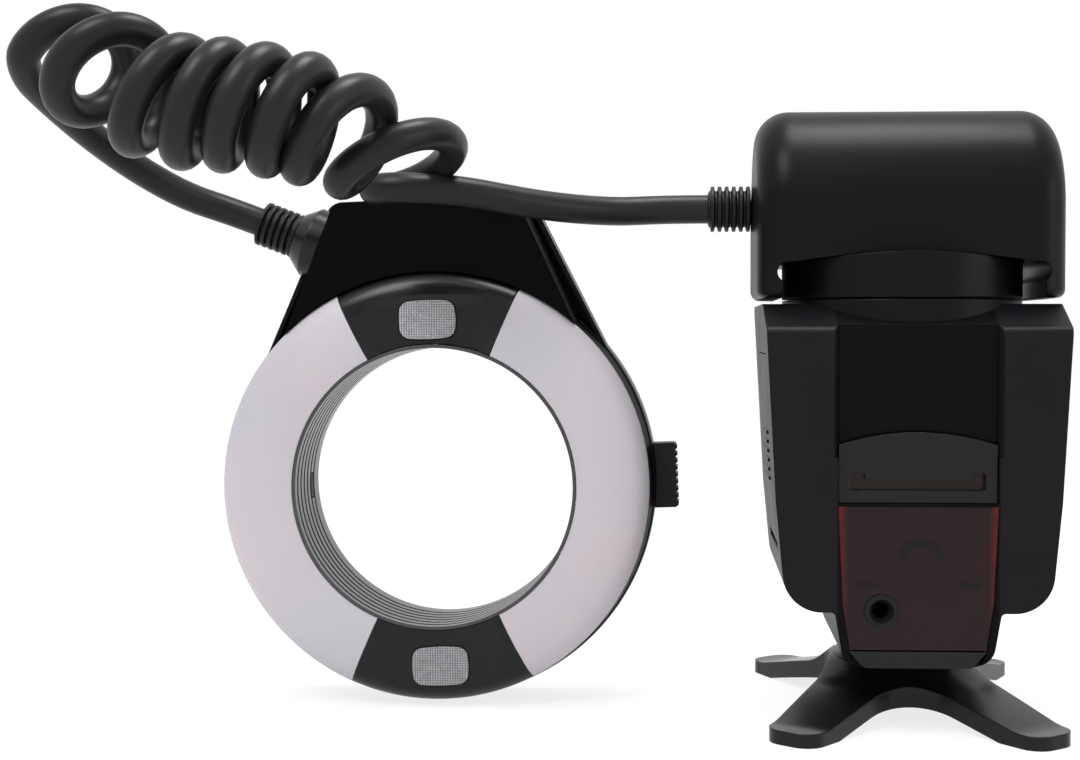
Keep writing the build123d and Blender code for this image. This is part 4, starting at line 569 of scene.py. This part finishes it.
@dataclass
class CurlyCord:
    """The one cord from the ring head's socket, through its curls, to the drum."""

    at: Placing
    radius: float = 3.55
    collar_level: float = 7.2
    collar_depth: float = 12.65
    collar_share: float = 0.66
    hood_foot_angle: float = 47.1
    hood_foot_r: float = 53.2
    hood_top_x: float = 22.3
    hood_top_y: float = 72.0
    boot_length: float = 10.5
    rib_pitch: float = 1.75
    rib_lead: float = 0.58
    rib_sharpness: float = 3.2
    rib_bias: float = 0.25
    valley_r: float = 4.45
    crest_r: float = 5.6
    boot_rows: int = 181
    tip_rows: int = 6
    boot_columns: int = 72
    drum_side: float = 37.1
    drum_exit_z: float = 123.4
    start_reach: float = 8.0
    end_reach: float = 11.0
    curve_share: float = 0.985
    steps_a_turn: int = 24
    middles: Sequence[Point] = (
        (-140.5, -26.8, 155.5), (-122.9, -50.8, 152.4), (-107.7, -69.8, 147.2),
        (-92.9, -77.8, 140.4), (-83.9, -78.8, 139.0), (-75.4, -78.8, 138.2),
        (-66.9, -76.8, 137.0), (-60.6, -70.8, 134.9), (-50.9, -48.8, 132.2),
        (-49.0, -22.8, 126.2), (-46.6, -4.8, 124.5),
    )
    radii: Sequence[float] = (10.2, 10.2, 10.2, 10.6, 10.6, 10.4, 10.4, 10.0, 12.2, 9.5, 9.5)
    yaws: Sequence[float] = (62, 46, 34, 8, 2, 2, 2, 2, 4, 0, 0)
    pitches: Sequence[float] = (44, 34, 28, 19, 17, 17, 19, 26, 56, 88, 90)
    first_turn: float = 0.0
    last_turn: float = 8.0
    tail_bends: Sequence[Point] = (
        (-110.8, -5.0, 126.6), (-119.4, -14.0, 132.1), (-124.8, -25.0, 137.4),
        (-128.4, -35.0, 142.1), (-130.6, -44.0, 146.0), (-131.5, -52.0, 149.0),
    )
    lead_bends: Sequence[Point] = ((-22.0, -18.5, 123.2), (-5.0, -7.0, 122.4))

    def blended(self, table: np.ndarray, turns: np.ndarray) -> np.ndarray:
        """Values at the given turns on a smooth cubic curve through a table of whole turns.

        Args:
            table: One row for each whole turn, the first at turn -1.
            turns: Turns to read, as an array.

        Returns:
            One row of values for each turn.
        """
        row = np.clip(np.floor(turns).astype(int) + 1, 1, len(table) - 3)
        u = (turns - (row - 1))[:, None]
        p0, p1, p2, p3 = table[row - 1], table[row], table[row + 1], table[row + 2]
        return (2 * p1 + (p2 - p0) * u + (2 * p0 - 5 * p1 + 4 * p2 - p3) * u**2
                + (3 * p1 - p0 - 3 * p2 + p3) * u**3) / 2

    def curls(self, turns: np.ndarray) -> np.ndarray:
        """Points of the helix: a circle round each loop's middle, in its tilted plane.

        Args:
            turns: Turns to work out.

        Returns:
            Points in millimetres, one row for each turn.
        """
        middle = self.blended(np.array(self.middles), turns)
        loop = self.blended(np.array([self.radii, self.yaws, self.pitches]).T, turns)
        yaw, pitch = np.radians(loop[:, 1]), np.radians(loop[:, 2])
        level = np.cos(pitch)
        along = np.stack([np.cos(yaw) * level, -np.sin(yaw) * level, -np.sin(pitch)], 1)
        back = np.stack([np.sin(yaw), np.cos(yaw), 0 * yaw], 1)
        up = np.cross(along, back)
        around = 2 * np.pi * turns[:, None]
        return middle + loop[:, :1] * (np.sin(around) * up - np.cos(around) * back)

    def collar(self) -> Tuple[np.ndarray, np.ndarray]:
        """Where the cord leaves the hood: part way up its slanted side, square to that side.

        Returns:
            The point on the side, in millimetres, and the way out of it, at length 1.
        """
        foot = math.radians(self.hood_foot_angle)
        foot_x, foot_y = self.hood_foot_r * math.cos(foot), self.hood_foot_r * math.sin(foot)
        rise, lean = self.hood_top_y - foot_y, foot_x - self.hood_top_x
        x, y = -(foot_x - self.collar_share * lean), foot_y + self.collar_share * rise
        start = self.at.ring_point(x, y, self.collar_depth)
        beyond = self.at.ring_point(x - rise, y + lean, self.collar_depth)
        return start, unit(beyond - start)

    def drum_foot(self, reach: float) -> np.ndarray:
        """A point on the cord's axis at the drum, that far from the drum's side, in millimetres."""
        return np.array([self.at.unit_x - self.drum_side - reach, self.at.neck_y, self.drum_exit_z])

    def route(self) -> np.ndarray:
        """The cord's control points from boot to boot, in millimetres.

        Returns:
            Points, one row each.
        """
        foot, out = self.collar()
        ring_tip = foot + out * (self.collar_level + self.boot_length)
        span = self.last_turn - self.first_turn
        turns = np.linspace(self.first_turn, self.last_turn, int(span * self.steps_a_turn) + 1)
        helix = self.curls(turns)
        way_out = unit(helix[-1] - self.curls(np.array([self.last_turn - 0.001]))[0])
        lead_meets = helix[-1] + way_out * self.end_reach
        drum_tip = self.drum_foot(self.boot_length)
        points = [ring_tip, ring_tip + out * self.start_reach]
        points += [*map(np.array, self.tail_bends), *helix]
        points += [lead_meets, *map(np.array, self.lead_bends),
                   drum_tip + np.array([-self.end_reach, 0.0, 0.0]), drum_tip]
        return np.array(points)

    def boot(self, name: str, foot: np.ndarray, out: np.ndarray) -> bpy.types.Object:
        """A strain relief: a profile of six rounded ribs turned about the cord.

        The radius along the axis is the valley's radius plus the rib's height times a flattened
        cosine, and it closes onto the cord at the tip.

        Args:
            name: Name of the piece.
            foot: Middle of its base, in millimetres.
            out: Direction of the cord, at length 1.

        Returns:
            The new object.
        """
        along = np.linspace(0.0, self.boot_length, self.boot_rows)
        wave = np.cos(2 * np.pi * (along - self.rib_lead) / self.rib_pitch)
        steep, bias, tip = self.rib_sharpness, self.rib_bias, self.tip_rows
        rib = 0.5 + 0.5 * np.tanh(steep * (wave + bias)) / np.tanh(steep * (1.0 + bias))
        profile = self.valley_r + (self.crest_r - self.valley_r) * rib
        closing = np.linspace(self.valley_r, self.radius + 0.25, tip)
        profile[-tip:] = np.minimum(profile[-tip:], closing)
        along = np.concatenate([[0.0], along, [self.boot_length]])
        profile = np.concatenate([[self.radius], profile, [self.radius + 0.02]])
        angle = np.linspace(0, 2 * np.pi, self.boot_columns, endpoint=False)
        side = unit(np.cross(out, [0.0, 0.3, 1.0]))
        other = np.cross(out, side)
        ring = np.cos(angle)[:, None] * side + np.sin(angle)[:, None] * other
        grid = foot + along[:, None, None] * out + profile[:, None, None] * ring
        return surface_mesh(name, grid * MM, wrap=True, caps=True)

    def build(self) -> None:
        """Makes the cord and its two boots and hangs them on the head."""
        line = bpy.data.curves.new("cord", "CURVE")
        line.dimensions = "3D"
        line.resolution_u = 4
        line.bevel_depth = self.radius * MM
        line.bevel_resolution = 8
        line.use_fill_caps = True
        spline = line.splines.new("NURBS")
        points = self.route() * MM
        spline.points.add(len(points) - 1)
        flat = np.concatenate([points, np.ones((len(points), 1))], axis=1)
        spline.points.foreach_set("co", flat.ravel())
        spline.order_u = 3
        spline.use_endpoint_u = True
        cord = bpy.data.objects.new("cord", line)
        bpy.context.scene.collection.objects.link(cord)
        line.materials.append(CORD.build())
        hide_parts("cord_ring_tail", "cord_coil", "cord_head_lead")
        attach(cord, "head_unit")
        boot_rubber = BOOT.build()
        foot, out = self.collar()
        drum_out = np.array([-1.0, 0.0, 0.0])
        boots = [
            (self.boot("ring_boot", foot + out * self.collar_level, out), "ring_cord_boot"),
            (self.boot("drum_boot", self.drum_foot(0.0), drum_out), "head_cord_boot"),
        ]
        for boot, node in boots:
            boot.data.materials.append(boot_rubber)
            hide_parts(node)
            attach(boot, "head_unit")
        # the curve cuts its control points' corners, so it is a little shorter than their path
        path_length = float(np.linalg.norm(np.diff(self.route(), axis=0), axis=1).sum())


@dataclass
class Wardrobe:
    """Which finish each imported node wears."""

    finishes: Dict[str, object] = field(default_factory=lambda: {
        "diffuser_left": DIFFUSER, "diffuser_right": DIFFUSER,
        "lamp_bezel_top": BEZEL, "lamp_bezel_bottom": BEZEL,
        "lamp_lens_top": LENS, "lamp_lens_bottom": LENS,
        "focus_lamp_top": LAMP, "focus_lamp_bottom": LAMP,
        "ring_front_housing": HOOD, "ring_rear_cover": SHELL, "bore_sleeve": SLEEVE,
        "reflector_left": POLISHED, "reflector_right": POLISHED,
        "flash_tube_left": COVER, "flash_tube_right": COVER,
        "ring_circuit_board": BOARD, "release_slider": KEY, "ring_screws": STEEL,
        "ring_cord_socket": BEZEL, "head_housing": SHELL, "main_capacitor": LABEL,
        "swivel_neck": SHELL, "swivel_pivot": SHELL, "body_turntable": SHELL,
        "body_front_shell": WING, "body_rear_shell": WING, "front_upper_panel": PANEL,
        "slot_insert": INSERT, "aperture_mask": INSERT, "foot_trim": PANEL, "sync_jack": KEY,
        "battery_frame": SHELL, "battery_contacts": STEEL, "battery_cells": LABEL,
        "battery_door": WING, "main_board": BOARD, "lcd_module": GLASS_GREY, "lcd_window": COVER,
        "soft_key_1": KEY, "soft_key_2": KEY, "soft_key_3": KEY, "soft_key_4": KEY,
        "pad_key": KEY, "set_key": KEY, "pilot_key": KEY, "power_switch": KEY,
        "body_screws": STEEL, "foot_block": SHELL, "shoe_foot": STEEL, "lock_pin": STEEL,
        "lock_lever": KEY, "lever_bracket": SHELL, "stand": GLOSS_BLACK,
    })

    def put_on(self, nodes: Dict[str, bpy.types.Object], at: Placing) -> None:
        """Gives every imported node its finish.

        Args:
            nodes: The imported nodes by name.
            at: Where the main axes stand.
        """
        made: Dict[str, bpy.types.Material] = {}
        for name, finish in self.finishes.items():
            if finish.name not in made:
                made[finish.name] = finish.build()
            dress(nodes[name], made[finish.name])
        # the second colour is the painted light at the window's cut edges
        window = RedWindow("red window", (0.0085, 0.0014, 0.0022), (0.130, 0.004, 0.008),
                           at.unit_x * MM, 18.2 * MM)
        dress(nodes["red_window"], window.build())
        LOG.info("finishes: %d on %d nodes", len(made) + 1, len(self.finishes) + 1)


@dataclass
class Studio:
    """White studio: floor, world, lamps and the photograph's camera."""

    eye: Point = (0.01345, -0.3968, 0.0925)
    lens: float = 52.83
    yaw: float = 2.6
    dip: float = 1.66
    shift: float = -0.0685
    sensor: float = 36.0
    floor_half: float = 3.0
    floor_glow: float = 0.80
    floor_drop: float = 0.00005
    lamps: List[Tuple[str, Point, Point, float, float]] = field(
        default_factory=lambda: [
            ("key", (-0.30, -0.45, 0.80), (0.0, 0.0, 0.08), 0.40, 5.5),
            ("strip", (0.10, 0.02, 0.60), (0.06, 0.0, 0.12), 0.22, 2.2),
            ("side", (0.75, -0.30, 0.25), (0.07, 0.0, 0.08), 0.35, 1.0),
        ]
    )

    def camera(self) -> None:
        """Sets the camera where the photograph was taken from."""
        data = bpy.data.cameras.new("camera")
        data.lens, data.sensor_width, data.shift_x = self.lens, self.sensor, self.shift
        data.clip_start = 0.01
        made = bpy.data.objects.new("camera", data)
        made.location = self.eye
        made.rotation_euler = (math.radians(90 - self.dip), 0.0, math.radians(self.yaw))
        bpy.context.scene.collection.objects.link(made)
        bpy.context.scene.camera = made

    def seen(self, sheet: NodeSheet) -> bpy.types.NodeSocket:
        """Tells the rays that should see a plain white floor.

        Args:
            sheet: The floor's nodes.

        Returns:
            1 for rays from the camera, a mirror or a glass, else 0.
        """
        path = sheet.tree.nodes.new("ShaderNodeLightPath").outputs
        both = sheet.math("MAXIMUM", path["Is Camera Ray"], path["Is Glossy Ray"])
        return sheet.math("MAXIMUM", both, path["Is Transmission Ray"])

    def world(self) -> None:
        """White all round, at a strength of 1."""
        world = bpy.data.worlds.new("studio")
        world.use_nodes = True
        tree = world.node_tree
        tree.nodes.clear()
        background = tree.nodes.new("ShaderNodeBackground")
        background.inputs["Color"].default_value = (1.0, 1.0, 1.0, 1.0)
        background.inputs["Strength"].default_value = 1.0
        out = tree.nodes.new("ShaderNodeOutputWorld")
        tree.links.new(background.outputs[0], out.inputs["Surface"])
        bpy.context.scene.world = world

    def floor(self) -> None:
        """A white floor that melts into the background and keeps a faint shadow."""
        sheet = NodeSheet("floor")
        diffuse = sheet.add("ShaderNodeBsdfDiffuse", Color=(1.0, 1.0, 1.0))
        glow = sheet.add("ShaderNodeEmission", Color=(1.0, 1.0, 1.0), Strength=1.0)
        share = sheet.math("MULTIPLY", self.seen(sheet), self.floor_glow)
        mix = sheet.add("ShaderNodeMixShader", Fac=share)
        sheet.put(mix.inputs[1], diffuse.outputs[0])
        sheet.put(mix.inputs[2], glow.outputs[0])
        sheet.put(sheet.output.inputs["Surface"], mix.outputs[0])
        side = np.linspace(-self.floor_half, self.floor_half, 2)
        x, y = np.meshgrid(side, side)
        grid = np.stack([x, y, np.full_like(x, -self.floor_drop)], axis=-1)
        made = surface_mesh("floor", grid, wrap=False, caps=False)
        made.data.materials.append(sheet.material)

    def lights(self) -> None:
        """Soft square lamps, each turned to its mark."""
        for name, place, mark, size, power in self.lamps:
            data = bpy.data.lights.new(name, "AREA")
            data.shape, data.size, data.energy = "SQUARE", size, power
            made = bpy.data.objects.new(name, data)
            made.location = place
            aim = Vector(mark) - Vector(place)
            made.rotation_euler = aim.to_track_quat("-Z", "Y").to_euler()
            bpy.context.scene.collection.objects.link(made)

    def build(self) -> None:
        """Sets up the whole studio."""
        scene = bpy.context.scene
        scene.view_settings.view_transform = "Standard"
        self.camera()
        self.world()
        self.floor()
        self.lights()
        LOG.info("studio ready with %d lamps", len(self.lamps))


def main(frame: dict) -> None:
    """Builds the scene in order.

    Args:
        frame: What the loader gave.
    """
    logging.basicConfig(level=logging.INFO, format="%(name)s: %(message)s")
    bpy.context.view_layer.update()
    at = Placing()
    Studio().build()
    CurlyCord(at).build()
    Wardrobe().put_on(frame["nodes"], at)


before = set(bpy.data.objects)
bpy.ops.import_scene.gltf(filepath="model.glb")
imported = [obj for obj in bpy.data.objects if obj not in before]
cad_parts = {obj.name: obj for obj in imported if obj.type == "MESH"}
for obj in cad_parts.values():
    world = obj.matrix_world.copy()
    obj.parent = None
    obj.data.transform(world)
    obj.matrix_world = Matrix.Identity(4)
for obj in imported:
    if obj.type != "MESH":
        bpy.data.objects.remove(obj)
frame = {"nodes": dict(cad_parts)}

if __name__ == "__main__":
    main(frame)
